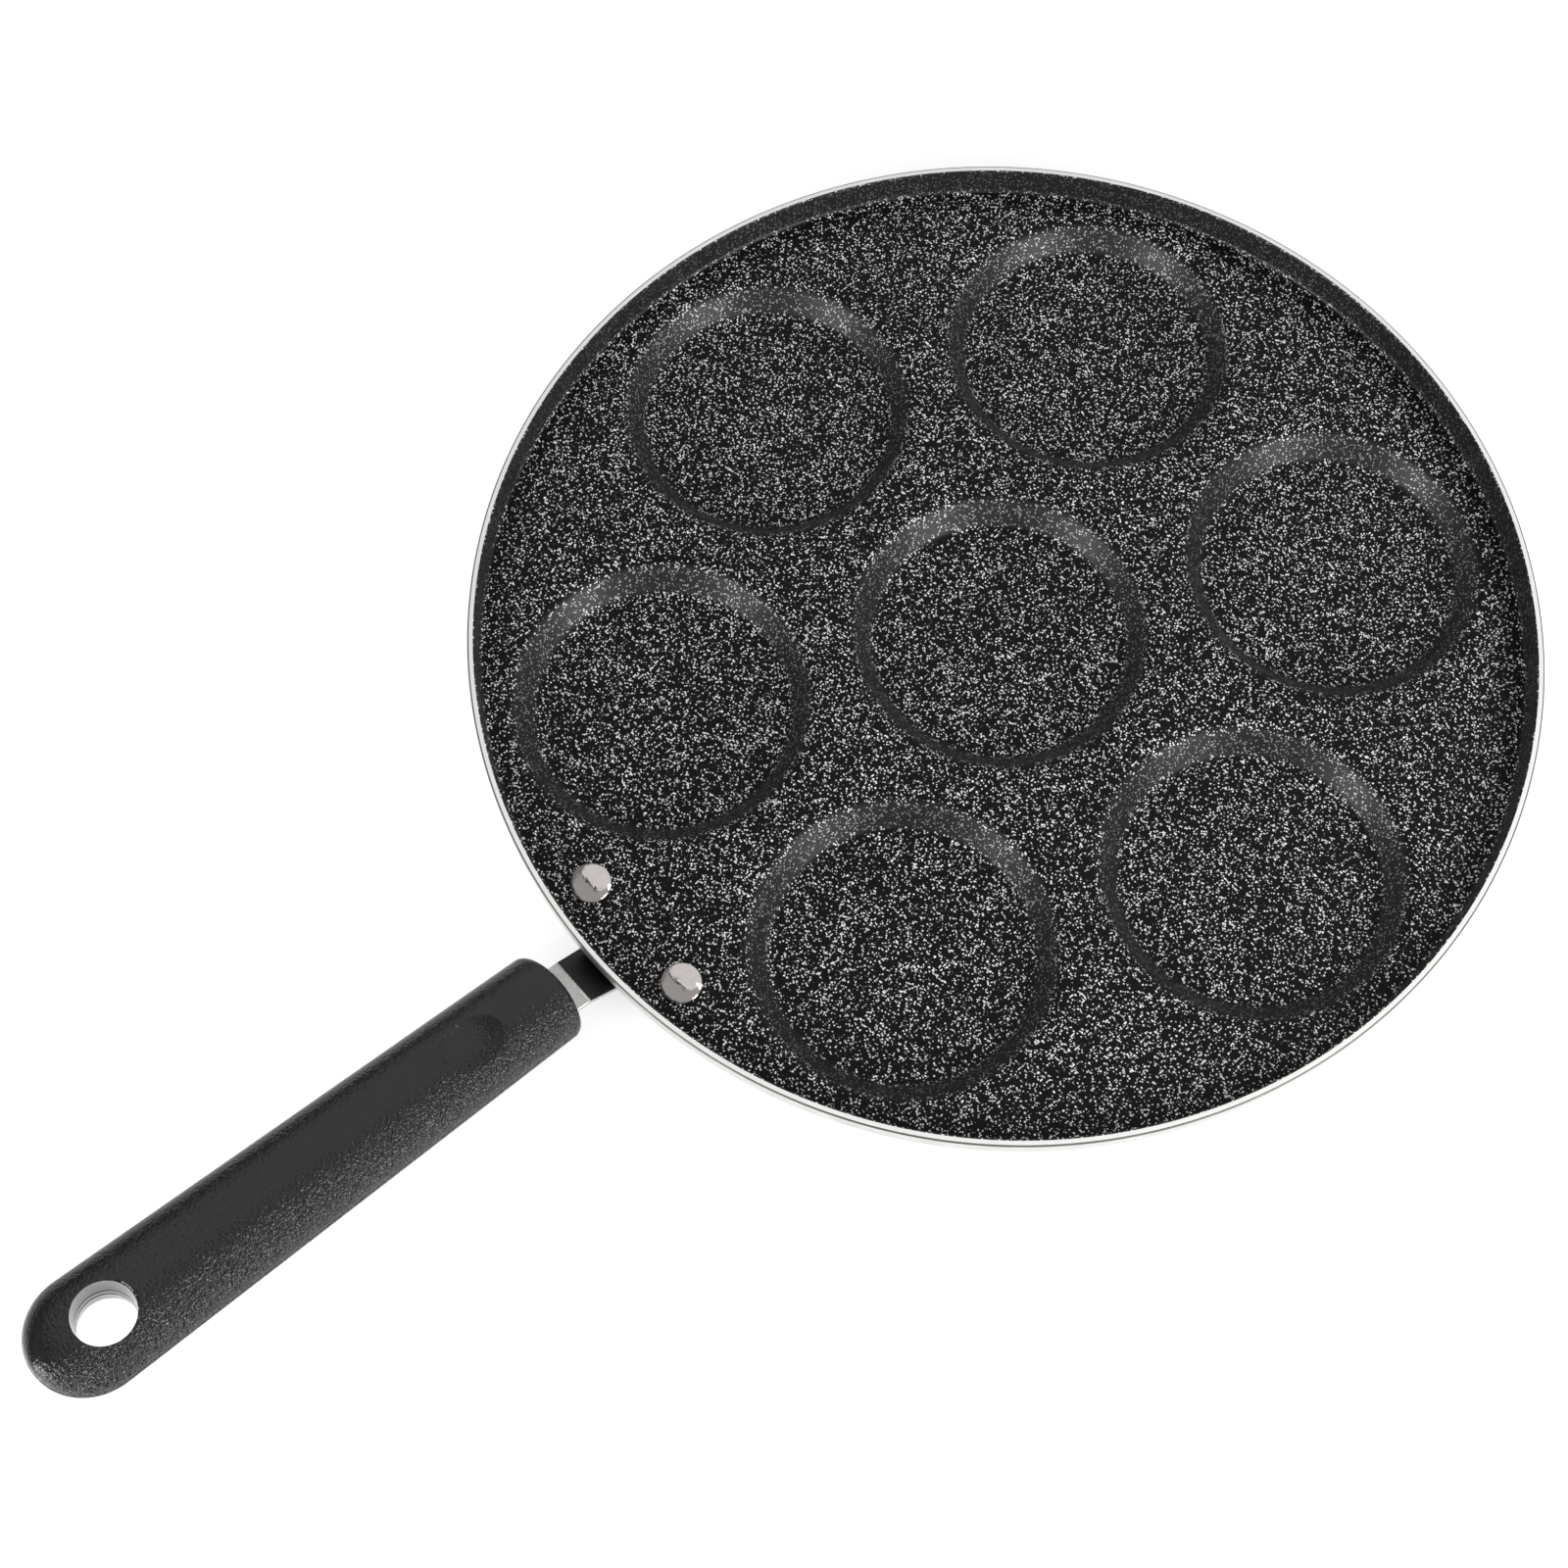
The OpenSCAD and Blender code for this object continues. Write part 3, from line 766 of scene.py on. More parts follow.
@dataclass
class PressedTray:
    """The tray with its seven cups, in one closed shell.

    A cup's curve runs from its flat floor round a bend, up a straight slope and round
    the lip's bend to the plate. The underside is the same curve one sheet lower.

    Attributes:
        rim_r: radius over the rim, in millimetres as all that follow.
        rim_z: height of the rim.
        apron: width of the flat ring by which a curve runs on to the plate.
        crisp: edges that turn by more than this many degrees look crisp.
    """

    rim_r: float
    rim_z: float
    sheet: float = 2.6
    rim_w: float = 1.8
    inner_corner_r: float = 1.2
    outer_corner_r: float = 6.0
    rim_edge_r: float = 0.4
    cup_gap: float = 7.8
    rim_gap: float = 4.5
    cup_depth: float = 6.5
    wall_slope: float = 52.0
    floor_bend_r: float = 3.0
    lip_bend_r: float = 1.7
    ring_cups: int = 6
    ring_turn: float = 0.9
    apron: float = 0.7
    round_steps: int = 120
    wall_steps: int = 360
    bend_steps: int = 9
    corner_steps: int = 8
    edge_steps: int = 6
    side_rows: int = 5
    crisp: float = 30.0

    @property
    def wall_r(self) -> float:
        """Radius of the tray's inner wall."""
        return self.rim_r - self.rim_w

    @property
    def lip_r(self) -> float:
        """Radius at which a cup meets the plate: three lips and two gaps fill the tray."""
        return (self.wall_r - self.cup_gap - self.rim_gap) / 3

    @property
    def plate_z(self) -> float:
        """Height of the plate's upper face."""
        return self.sheet + self.cup_depth

    def cup_places(self) -> np.ndarray:
        """Centres of the cups in plan: one in the middle and the others evenly round it.

        Returns:
            Array of centres, one row a cup.
        """
        turn = -90 + self.ring_turn + 180 / self.ring_cups
        pitch = 2 * self.lip_r + self.cup_gap
        ring = arc((0, 0), pitch, turn, turn + 360, self.ring_cups)[:-1]
        return np.vstack([[0, 0], ring])

    def cup_curve(self, floor_z: float, low_r: float, high_r: float) -> np.ndarray:
        """One face of a cup as radius and height, from its middle to its lip and apron.

        Args:
            floor_z: height of the flat floor.
            low_r: radius of the bend at the floor.
            high_r: radius of the bend at the lip.

        Returns:
            Profile points.
        """
        slope = math.radians(self.wall_slope)
        drop = self.cup_depth - (low_r + high_r) * (1 - math.cos(slope))
        floor_r = self.lip_r - (low_r + high_r) * math.sin(slope) - drop / math.tan(slope)
        top = floor_z + self.cup_depth
        return np.vstack([
            [[0, floor_z], [floor_r - self.apron, floor_z]],
            arc((floor_r, floor_z + low_r), low_r, -90, self.wall_slope - 90, self.bend_steps),
            arc((self.lip_r, top - high_r), high_r, self.wall_slope + 90, 90, self.bend_steps),
            [[self.lip_r + self.apron, top]]])

    def wall_curve(self) -> tuple[np.ndarray, np.ndarray]:
        """The wall from the plate over the rim to the underside.

        Returns:
            Profile points, and a finish number for each step between them.
        """
        r, edge, low, high = self.rim_r, self.rim_edge_r, self.plate_z, self.rim_z
        under, corner, outer = self.cup_depth, self.inner_corner_r, self.outer_corner_r
        sides = np.linspace(high - 2 * edge, under + outer, self.side_rows)
        inner = self.wall_r
        parts = [
            (TrayFinish.COAT, [[inner - corner - self.apron, low]]),
            (TrayFinish.COAT, arc((inner - corner, low + corner), corner, -90, 0, self.corner_steps)),
            (TrayFinish.COAT, arc((inner + edge, high - edge), edge, 180, 90, self.edge_steps)),
            (TrayFinish.TURNED_RIM, [[r - edge, high]]),
            # The rim's outer rounding takes the darker finish, a painted dark reflection
            (TrayFinish.RIM_EDGE_PAINTED_DARK, arc((r - edge, high - edge), edge, 90, 0, self.edge_steps)[1:]),
            (TrayFinish.PRESSED_WALL, np.column_stack([np.full(self.side_rows, r), sides])),
            (TrayFinish.PRESSED_WALL,
             arc((r - outer, under + outer), outer, 0, -90, 2 * self.corner_steps)),
            (TrayFinish.PRESSED_WALL, [[r - outer - self.apron / 4, under]])]
        finish = np.concatenate([np.full(len(points), number) for number, points in parts])
        return np.vstack([points for _, points in parts]), finish[1:]

    def build(self, rivets: "RivetPair") -> bpy.types.Object:
        """Builds the tray's closed shell with its rivet holes.

        Args:
            rivets: the rivets whose shanks pass through the plate.

        Returns:
            The tray.
        """
        shell = Shell("pressed_tray", [
            SpeckledCoat().make(), TURNED_RIM.make(), PRESSED_WALL.make(), RIM_EDGE_PAINTED_DARK.make()])
        count, around = self.round_steps, rivets.round_steps
        cups, places = self.cup_places(), rivets.places()
        top = self.cup_curve(self.sheet, self.floor_bend_r, self.lip_bend_r + self.sheet)
        bottom = self.cup_curve(0, self.floor_bend_r + self.sheet, self.lip_bend_r)
        for centre in cups:
            shell.add_grid(revolve(top, centre, count), TrayFinish.COAT)
            shell.add_grid(revolve(bottom, centre, count)[:, ::-1], TrayFinish.PRESSED_WALL)
        wall, finish = self.wall_curve()
        shell.add_grid(revolve(wall, (0, 0), self.wall_steps), finish)
        hole = np.array([[rivets.hole_r, self.plate_z], [rivets.hole_r, self.cup_depth]])
        for centre in places:
            shell.add_grid(revolve(hole, centre, around), TrayFinish.PRESSED_WALL)
        openings = [circle(centre, self.lip_r + self.apron, count) for centre in cups]
        openings += [circle(centre, rivets.hole_r, around) for centre in places]
        for height, rim, number in ((self.plate_z, wall[0], TrayFinish.COAT),
                                    (self.cup_depth, wall[-1], TrayFinish.PRESSED_WALL)):
            shell.add_plate(height, circle((0, 0), rim[0], self.wall_steps), openings, number)
        return shell.build(self.crisp)


@dataclass
class RivetPair:
    """Two polished rivets that hold the bracket under the plate.

    A head is part of a ball on a short upright edge, and the two meet in a small bend.

    Attributes:
        foot: bevel at the edge's foot.
        inner_ring: width of the flat ring before the tail's rounding.
        crisp: as in PressedTray.
    """

    pan_r: float
    plate_z: float
    under_z: float
    strip_t: float
    spacing: float = 32.6
    inset: float = 12.5
    head_d: float = 9.8
    head_h: float = 2.3
    edge_h: float = 1.1
    edge_r: float = 0.35
    shank_d: float = 5.0
    tail_d: float = 8.2
    tail_h: float = 1.6
    tail_edge_r: float = 0.8
    gap: float = 0.05
    foot: float = 0.15
    inner_ring: float = 0.2
    round_steps: int = 72
    tail_steps: int = 8
    edge_steps: int = 6
    ball_steps: int = 18
    crisp: float = 32.0

    @property
    def hole_r(self) -> float:
        """Radius of the holes that the shanks pass through."""
        return self.shank_d / 2 + self.gap

    def places(self) -> np.ndarray:
        """Centres of the left and the right rivet in plan."""
        return np.array([[side * self.spacing / 2, self.inset - self.pan_r] for side in (-1, 1)])

    def profile(self) -> np.ndarray:
        """A rivet's outline as radius and height, from the tail's middle to the head's.

        Returns:
            Profile points.
        """
        head_r, rise = self.head_d / 2, self.head_h - self.edge_h
        ball_r = (head_r ** 2 + rise ** 2) / (2 * rise)
        ball_z = self.plate_z + self.head_h - ball_r
        # The bend's centre lies edge_r inside both the upright edge and the ball
        bend_x = head_r - self.edge_r
        bend_z = ball_z + math.sqrt((ball_r - self.edge_r) ** 2 - bend_x ** 2)
        meet = math.degrees(math.atan2(bend_z - ball_z, bend_x))
        seat_z = self.under_z - self.strip_t
        end_z, tail_r, tail_edge = seat_z - self.tail_h, self.tail_d / 2, self.tail_edge_r
        return np.vstack([
            [[0, end_z], [tail_r - tail_edge - self.inner_ring, end_z]],
            arc((tail_r - tail_edge, end_z + tail_edge), tail_edge, -90, 0, self.tail_steps),
            [[tail_r, seat_z], [self.shank_d / 2, seat_z], [self.shank_d / 2, self.plate_z]],
            [[head_r - self.foot, self.plate_z], [head_r, self.plate_z + self.foot]],
            arc((bend_x, bend_z), self.edge_r, 0, meet, self.edge_steps),
            arc((0, ball_z), ball_r, meet, 90, self.ball_steps)])

    def build(self) -> list[bpy.types.Object]:
        """Builds both rivets.

        Returns:
            The left and the right rivet.
        """
        finish = POLISHED_RIVET.make()
        made = []
        for name, centre in zip(("rivet_left_polished", "rivet_right_polished"), self.places()):
            shell = Shell(name, [finish])
            shell.add_grid(revolve(self.profile(), centre, self.round_steps))
            made.append(shell.build(self.crisp))
        return made


@dataclass
class GripFrame:
    """The grip's own axes: s runs along it from the front, z stands square to it.

    Attributes:
        origin: the front of the tongue's upper face, in the pan's axes.
        slope: the grip's slope in degrees.
    """

    origin: tuple[float, float, float]
    slope: float

    def to_pan(self, points: np.ndarray) -> np.ndarray:
        """Turns points (x, -s, z) of the grip by the slope about X and moves them to its origin.

        Args:
            points: array of points in the grip's axes, x, y and z last.

        Returns:
            The same points in the pan's axes.
        """
        c, s = math.cos(math.radians(self.slope)), math.sin(math.radians(self.slope))
        x, y, z = points[..., 0], points[..., 1], points[..., 2]
        return np.stack([x, y * c + z * s, z * c - y * s], axis=-1) + np.asarray(self.origin)

    def turned(self, name: str, profile: np.ndarray, s: float, count: int,
               finishes: list[bpy.types.Material], finish: Finish = 0) -> bpy.types.Object:
        """Turns a profile about an axis square to the grip, which makes a closed cutter.

        Args:
            name: the cutter's name.
            profile: points with radius and height, from axis to axis.
            s: the axis's distance from the front.
            count: number of steps round the axis.
            finishes: materials of the cut.
            finish: material number, or one for each step of the profile.

        Returns:
            The cutter.
        """
        cutter = Shell(name, finishes)
        cutter.add_grid(self.to_pan(revolve(profile, (0, -s), count)), finish)
        return cutter.build(CUTTER_CRISP)


END_SHARE = 0.97  # width of a strip's end face, as a share of the section before it


@dataclass
class SteelBracket:
    """Steel strip: a tab under the plate, a rise past the rim and a tongue in the grip.

    Attributes:
        pan_r: radius over the pan's rim.
        under_z: height of the plate's lower face, on which the tab lies.
        rivets: the rivets that hold it.
        tongue_shares: where the last stretch has sections between its ends, as shares of it.
        black_short: how far before the second bend the black ends.
        tab_sweep: how far the tab's circle is followed, in degrees.
        crisp: as in PressedTray.
    """

    pan_r: float
    under_z: float
    rivets: RivetPair
    thickness: float = 1.8
    tab_r: float = 6.8
    neck_w: float = 13.1
    tongue_w: float = 12.2
    rise: float = 33.0
    first_bend_in: float = 2.5
    second_bend_out: float = 6.4
    bend_r: float = 3.0
    tongue_len: float = 34.0
    tongue_corner: float = 2.0
    tongue_shares: tuple[float, ...] = (0.15, 0.5, 0.8)
    edge_r: float = 0.25
    grip_slope: float = 12.9
    grip_gap: float = 9.0
    tongue_cover: float = 8.4
    black_short: float = 0.6
    tab_sweep: float = 150.0
    tab_steps: int = 30
    bend_steps: int = 8
    edge_steps: int = 3
    drill_steps: int = 48
    crisp: float = 28.0

    @property
    def first_bend(self) -> np.ndarray:
        """Where the strip's upper face turns up, as distance out and height."""
        return np.array([self.pan_r - self.first_bend_in, self.under_z])

    @property
    def second_bend(self) -> np.ndarray:
        """Where the strip's upper face turns on to the grip's slope."""
        run = self.first_bend_in + self.second_bend_out
        return np.array([self.pan_r + self.second_bend_out,
                         self.under_z + run * math.tan(math.radians(self.rise))])

    def grip_frame(self) -> GripFrame:
        """The grip's axes, which follow from the tongue.

        Returns:
            The axes.
        """
        slope = math.radians(self.grip_slope)
        out = self.pan_r + self.grip_gap + self.tongue_cover * math.sin(slope)
        z = self.second_bend[1] + (out - self.second_bend[0]) * math.tan(slope)
        return GripFrame((0.0, -out, float(z)), self.grip_slope)

    def tongue_run(self) -> float:
        """Length of the strip from its second bend to its end."""
        out = -self.grip_frame().origin[1]
        return (out - self.second_bend[0]) / math.cos(math.radians(self.grip_slope)) + self.tongue_len

    def stations(self) -> tuple[np.ndarray, np.ndarray]:
        """The strip's upper face, station by station.

        Straight stretches and bends of bend_r follow each other. The tab's stretch is
        closer spaced where its outline curves.

        Returns:
            For each station its distance out and height, and its heading in degrees.
        """
        rivet_out = self.pan_r - self.rivets.inset
        sweep = np.radians(np.linspace(0, self.tab_sweep, self.tab_steps + 1))
        tab = rivet_out - self.tab_r * np.cos(sweep)
        flat = [(np.column_stack([tab, np.full(len(tab), self.under_z)]), np.zeros(len(tab)))]
        corner, heading = self.first_bend, 0.0
        for turn_to, after in ((self.rise, self.second_bend), (self.grip_slope, None)):
            side = 1 if turn_to > heading else -1
            back = self.bend_r * math.tan(math.radians(abs(turn_to - heading)) / 2)
            along = np.array([math.cos(math.radians(heading)), math.sin(math.radians(heading))])
            centre = corner - back * along + side * self.bend_r * np.array([-along[1], along[0]])
            turns = np.linspace(heading, turn_to, self.bend_steps + 1)
            spoke = np.column_stack([np.sin(np.radians(turns)), -np.cos(np.radians(turns))])
            flat.append((centre + side * self.bend_r * spoke, turns))
            corner, heading = (after if after is not None else corner), turn_to
        slope = math.radians(self.grip_slope)
        run = self.tongue_run()
        shares = np.array([*self.tongue_shares, 1 - self.tongue_corner / run, 1.0]) * run
        end = self.second_bend + shares[:, None] * np.array([math.cos(slope), math.sin(slope)])
        flat.append((end, np.full(len(end), self.grip_slope)))
        return np.vstack([p for p, _ in flat]), np.concatenate([h for _, h in flat])

    def half_width(self, out: np.ndarray) -> np.ndarray:
        """Half the strip's width at a distance out.

        Round the rivets it is half their spacing plus the height of the tab's circle. A
        straight line that touches this circle leads to the neck, and the tongue narrows
        from there. Its end corners are cut across.

        Args:
            out: distances out from the pan's axis.

        Returns:
            Half the width at each of them.
        """
        rivet = np.array([self.pan_r - self.rivets.inset, self.rivets.spacing / 2])
        root = np.array([self.first_bend[0], self.neck_w / 2])
        away = rivet - root
        reach = float(np.hypot(*away))
        # Angle at the rivet, from straight out, of the point where the line touches
        touch = math.atan2(root[1] - rivet[1], root[0] - rivet[0]) + math.acos(self.tab_r / reach)
        touch_at = rivet + self.tab_r * np.array([math.cos(touch), math.sin(touch)])
        round_part = rivet[1] + np.sqrt(np.maximum(0, self.tab_r ** 2 - (out - rivet[0]) ** 2))
        tip = self.second_bend[0] + self.tongue_run() * math.cos(math.radians(self.grip_slope))
        line = np.interp(out, [touch_at[0], root[0], self.second_bend[0], tip - self.tongue_corner, tip],
                         [touch_at[1], root[1], self.tongue_w / 2, self.tongue_w / 2,
                          self.tongue_w / 2 - self.tongue_corner])
        return np.where(out < touch_at[0], round_part, line)

    def build(self, screw_r: float, screw_s: float) -> bpy.types.Object:
        """Carries the rounded cross-section along the strip and drills its holes.

        Args:
            screw_r: radius of the tapped hole.
            screw_s: its distance from the grip's front.

        Returns:
            The bracket.
        """
        path, heading = self.stations()
        loops = rounded_loop(self.half_width(path[:, 0]), -self.thickness, 0, self.edge_r, self.edge_steps)
        # One more section at each end closes on the strip's middle line
        ends = [loops[end] * [END_SHARE, 0] + [0, -self.thickness / 2] for end in (0, -1)]
        loops = np.concatenate([ends[:1], loops, ends[1:]])
        path = np.vstack([path[:1], path, path[-1:]])
        turn = np.radians(np.concatenate([heading[:1], heading, heading[-1:]]))
        normal = np.column_stack([-np.sin(turn), np.cos(turn)])
        at = path[:, None] + loops[..., 1:] * normal[:, None]
        grid = np.stack([loops[..., 0], -at[..., 0], at[..., 1]], axis=2)
        # Only the flats are drawn black, and only up to shortly before the second bend; the sides and the
        # tongue are bare steel
        side = np.abs(np.diff(loops[1, :, 1], append=loops[1, :1, 1])) > self.thickness / 2
        coated = path[:-1, 0] < self.second_bend[0] - self.black_short
        finish = np.where(coated[:, None] & ~side, StripFinish.BLACK_SATIN, StripFinish.BARE_STEEL)
        steel = CUT_STEEL.make()
        shell = Shell("steel_bracket", [BlackSatin().make(), steel])
        shell.add_grid(grid, finish)
        bracket = shell.build(self.crisp)
        tapped = tuple(self.grip_frame().to_pan(np.array([0, -screw_s, 0])))
        holes = [(self.rivets.hole_r, (*centre, self.under_z), 0.0) for centre in self.rivets.places()]
        holes.append((screw_r, tapped, self.grip_slope))
        # Each drill is turned in axes of its own, which slope as the strip does at its hole
        deep = 2 * self.thickness
        drills = [
            GripFrame(middle, slope).turned("drill", rod(radius, -deep, deep), 0, self.drill_steps, [steel])
            for radius, middle, slope in holes]
        carve(bracket, drills, self.crisp)
        return bracket


@dataclass
class MouldedGrip:
    """The phenolic grip, lofted from rounded oval sections.

    A section is a superellipse: |x/a|^p + |z/h|^p = 1, with a crown above the parting
    plane and a deeper belly below it. The half width a grows evenly to the round tip.

    Attributes:
        axes: the grip's axes.
        cut_past: how far the cutters reach past the grip's skin.
        power: the superellipse's power p.
        tip_roll: power by which the height falls off to the tip.
        face_shares: shares of the full section that the rings of the front face draw.
        tip_turns: where the tip is closer spaced and where it ends, in degrees.
        section_step: degrees between the points of a section.
        seam_turns: degrees from the parting plane of the points beside the seam.
        cut_crisp: as crisp, for the edges of what is cut.
    """

    axes: GripFrame
    length: float = 136.3
    front_w: float = 22.5
    tip_w: float = 26.3
    crown_h: float = 5.6
    belly_front_h: float = 10.0
    belly_tip_h: float = 8.4
    front_bow: float = 1.6
    front_edge_r: float = 2.1
    tongue_cover: float = 8.4
    tongue_len: float = 34.0
    tongue_w: float = 12.2
    strip_t: float = 1.8
    slot_gap: float = 0.2
    slot_corner_r: float = 0.15
    cut_past: float = 2.0
    hang_d: float = 12.4
    hang_land: float = 2.4
    hang_draft: float = 6.0
    hang_edge_r: float = 0.8
    hang_to_tip: float = 17.0
    witness_w: float = 0.55
    dent_from_front: float = 25.0
    dent_len: float = 16.0
    dent_depth: float = 1.4
    power: float = 2.1
    tip_roll: float = 4.0
    seam_h: float = 0.12
    seam_w: float = 0.3
    face_shares: tuple[float, ...] = (0.0, 0.25, 0.5, 0.7)
    tip_turns: tuple[float, float] = (76.0, 90.0)
    section_step: float = 3.75
    seam_turns: tuple[float, ...] = (0.8, 1.6, 2.6)
    edge_steps: int = 12
    body_steps: int = 89
    mouth_steps: int = 10
    hole_steps: int = 96
    dent_steps: int = 128
    bore_steps: int = 72
    crisp: float = 35.0
    cut_crisp: float = 12.0

    @property
    def parting_z(self) -> float:
        """Height of the parting plane in the grip's axes."""
        return self.tongue_cover - self.crown_h

    @property
    def tip_r(self) -> float:
        """Radius of the round tip in plan."""
        return self.tip_w / 2

    @property
    def tip_centre(self) -> float:
        """Distance from the front to the tip's centre."""
        return self.length - self.tip_r

    def belly_h(self, s: Union[float, np.ndarray]) -> Union[float, np.ndarray]:
        """Depth of the belly below the parting plane at s."""
        share = np.minimum(1, s / self.tip_centre)
        return self.belly_front_h + (self.belly_tip_h - self.belly_front_h) * share

    def rows(self) -> tuple[np.ndarray, np.ndarray, np.ndarray]:
        """Stations along the grip.

        Returns:
            For each station its place s, the share of the full section that it draws,
            and its angle round the tip in radians, which is nought before the tip.
        """
        edge = np.radians(np.linspace(0, 90, self.edge_steps + 1))
        edge_s = self.front_edge_r * (1 - np.cos(edge))
        edge_share = 1 - (1 - np.sin(edge)) * 2 * self.front_edge_r / self.front_w
        face_share = np.array(self.face_shares)
        body = np.linspace(self.front_edge_r, self.tip_centre, self.body_steps + 1)[1:]
        closer, end = self.tip_turns
        tip = np.radians(np.concatenate([np.arange(2, closer, 2), np.arange(closer, end + 0.5)]))
        before = len(face_share) + len(edge) + len(body)
        s = np.concatenate([0 * face_share, edge_s, body, self.tip_centre + self.tip_r * np.sin(tip)])
        share = np.concatenate([face_share, edge_share, np.ones(len(body) + len(tip))])
        return s, share, np.concatenate([np.zeros(before), tip])

    def section_angles(self) -> np.ndarray:
        """Angles round a section, closer together at the parting plane's seam.

        Returns:
            Rising angles in radians.
        """
        even = np.arange(0, 360, self.section_step)
        near = np.concatenate([np.array(self.seam_turns), -np.array(self.seam_turns)])
        return np.radians(np.unique(np.concatenate([even, near % 360, near + 180])))

    def oval(self, ratio: np.ndarray) -> np.ndarray:
        """Turns a circle's cosine or sine to the superellipse's: its size to the power 2/p, sign kept."""
        return np.sign(ratio) * np.abs(ratio) ** (2 / self.power)

    def surface(self) -> np.ndarray:
        """The grip's skin as a grid of points in the pan's axes.

        Returns:
            Array (stations, angles, 3).
        """
        s, share, turn = (v[:, None] for v in self.rows())
        angle = self.section_angles()[None]
        half = np.where(turn > 0, self.tip_r * np.cos(turn),
                        (self.front_w + (self.tip_w - self.front_w) * s / self.tip_centre) / 2)
        roll = np.sin(turn) ** self.tip_roll
        height = np.where(np.sin(angle) > 0, self.crown_h, self.belly_h(s))
        height = height * (1 - roll) ** (1 / self.tip_roll)
        x = share * half * self.oval(np.cos(angle))
        z = share * height * self.oval(np.sin(angle))
        # The seam is a fine ridge on the parting plane, which fades at the front
        ridge = self.seam_h * np.maximum(0, 1 - (z / self.seam_w) ** 2) * (share >= 1)
        x += np.sign(np.cos(angle)) * ridge * np.cos(turn)
        s = s + ridge * np.sin(turn)
        bow = self.front_bow * (2 * x / self.front_w) ** 2 * np.maximum(0, 1 - s / self.tip_centre)
        return self.axes.to_pan(np.stack([x, -(s + bow), self.parting_z + z], axis=2))

    def mouth(self, a: float, b: float) -> np.ndarray:
        """Half of the hanging hole's side.

        The side opens by the draft from the land, and a quarter circle rounds its mouth.

        Args:
            a: height of the land's edge.
            b: height of the mouth.

        Returns:
            Profile points from the land's edge, past the mouth, to the hole's axis.
        """
        out = 1 if b > a else -1
        edge_z = b - out * self.hang_edge_r
        opened = abs(edge_z - a) * math.tan(math.radians(self.hang_draft))
        mouth_r = self.hang_d / 2 + opened + self.hang_edge_r
        beyond = b + out * self.cut_past
        return np.vstack([
            [[self.hang_d / 2, a]],
            arc((mouth_r, edge_z), self.hang_edge_r, 180, 180 - out * 90, self.mouth_steps),
            [[mouth_r, beyond], [0, beyond]]])

    def hanging_hole(self, resin: bpy.types.Material) -> bpy.types.Object:
        """Cutter for the hanging hole, smooth from the moulding pins and drawn pale grey as painted light,
        with their witness lines.

        Args:
            resin: material of the cut.

        Returns:
            The cutter.
        """
        s = self.length - self.hang_to_tip
        low = self.parting_z - float(self.belly_h(s))
        middle = (self.tongue_cover + low) / 2
        below = self.mouth(middle - self.hang_land / 2, low)
        above = self.mouth(middle + self.hang_land / 2, self.tongue_cover)
        line = self.witness_w / 2 * np.array([[0, -1], [self.witness_w, -1], [self.witness_w, 1], [0, 1]])
        profile = np.vstack([below[:0:-1], below[0] + line, above[0] + line, above[1:]])
        # The lower side, the land and the upper side are smooth, and drawn pale grey as painted light. The
        # witness lines between them and the mouths' roundings stay as grained as the grip, in its black
        # resin.
        finish = np.full(len(profile) - 1, GripFinish.GRAINED)
        finish[len(below) - 2 + np.array([0, len(line), 2 * len(line)])] = GripFinish.PIN_SMOOTH_PAINTED_LIGHT
        return self.axes.turned("hole_pin", profile, s, self.hole_steps, [resin, PIN_SMOOTH_PAINTED_LIGHT.make()], finish)

    def thumb_dent(self, resin: bpy.types.Material) -> bpy.types.Object:
        """Cutter for the thumb dent, a slice of a ball through half of the dent's length and its depth.

        Args:
            resin: material of the cut.

        Returns:
            The cutter.
        """
        half, depth = self.dent_len / 2, self.dent_depth
        ball_r = (half ** 2 + depth ** 2) / (2 * depth)
        top = self.tongue_cover - depth + ball_r
        # Forty degrees of the ball reach well past the grip's skin
        profile = np.vstack([arc((0, top), ball_r, -90, -50, 40), [[0, top - ball_r / 2]]])
        return self.axes.turned("dent_ball", profile, self.dent_from_front, self.dent_steps, [resin])

    def tongue_slot(self, resin: bpy.types.Material) -> bpy.types.Object:
        """Cutter for the tongue's slot, which lies on the tongue's lower face.

        Args:
            resin: material of the cut.

        Returns:
            The cutter.
        """
        half = self.tongue_w / 2 + self.slot_gap
        rows = np.array([self.cut_past, self.cut_past / 4, -self.tongue_len - self.slot_gap])
        loops = rounded_loop(np.full(len(rows), half), -self.strip_t, self.slot_gap,
                             self.slot_corner_r, FINE_STEPS)
        along = np.broadcast_to(rows[:, None], loops.shape[:2])
        cutter = Shell("slot_core", [resin])
        cutter.add_grid(self.axes.to_pan(capped(np.stack([loops[..., 0], along, loops[..., 1]], axis=2))))
        return cutter.build(CUTTER_CRISP)

    def build(self, screw: "GripScrew") -> bpy.types.Object:
        """Lofts the grip and cuts its hole, dent, slot and bores.

        Args:
            screw: the screw that the bores take.

        Returns:
            The grip.
        """
        resin = MouldedPhenolic().make()
        shell = Shell("moulded_grip", [resin])
        shell.add_grid(self.surface())
        grip = shell.build(self.crisp)
        below = screw.belly_z - self.cut_past
        bores = [rod(screw.thread_d / 2 + screw.gap, below, screw.proud + self.slot_gap),
                 rod(screw.head_d / 2 + screw.bore_gap, below, screw.seat_z)]
        cutters = [self.hanging_hole(resin), self.thumb_dent(resin), self.tongue_slot(resin)]
        cutters += [self.axes.turned("bore_core", bore, screw.from_front, self.bore_steps, [resin])
                    for bore in bores]
        carve(grip, cutters, self.cut_crisp)
        return grip


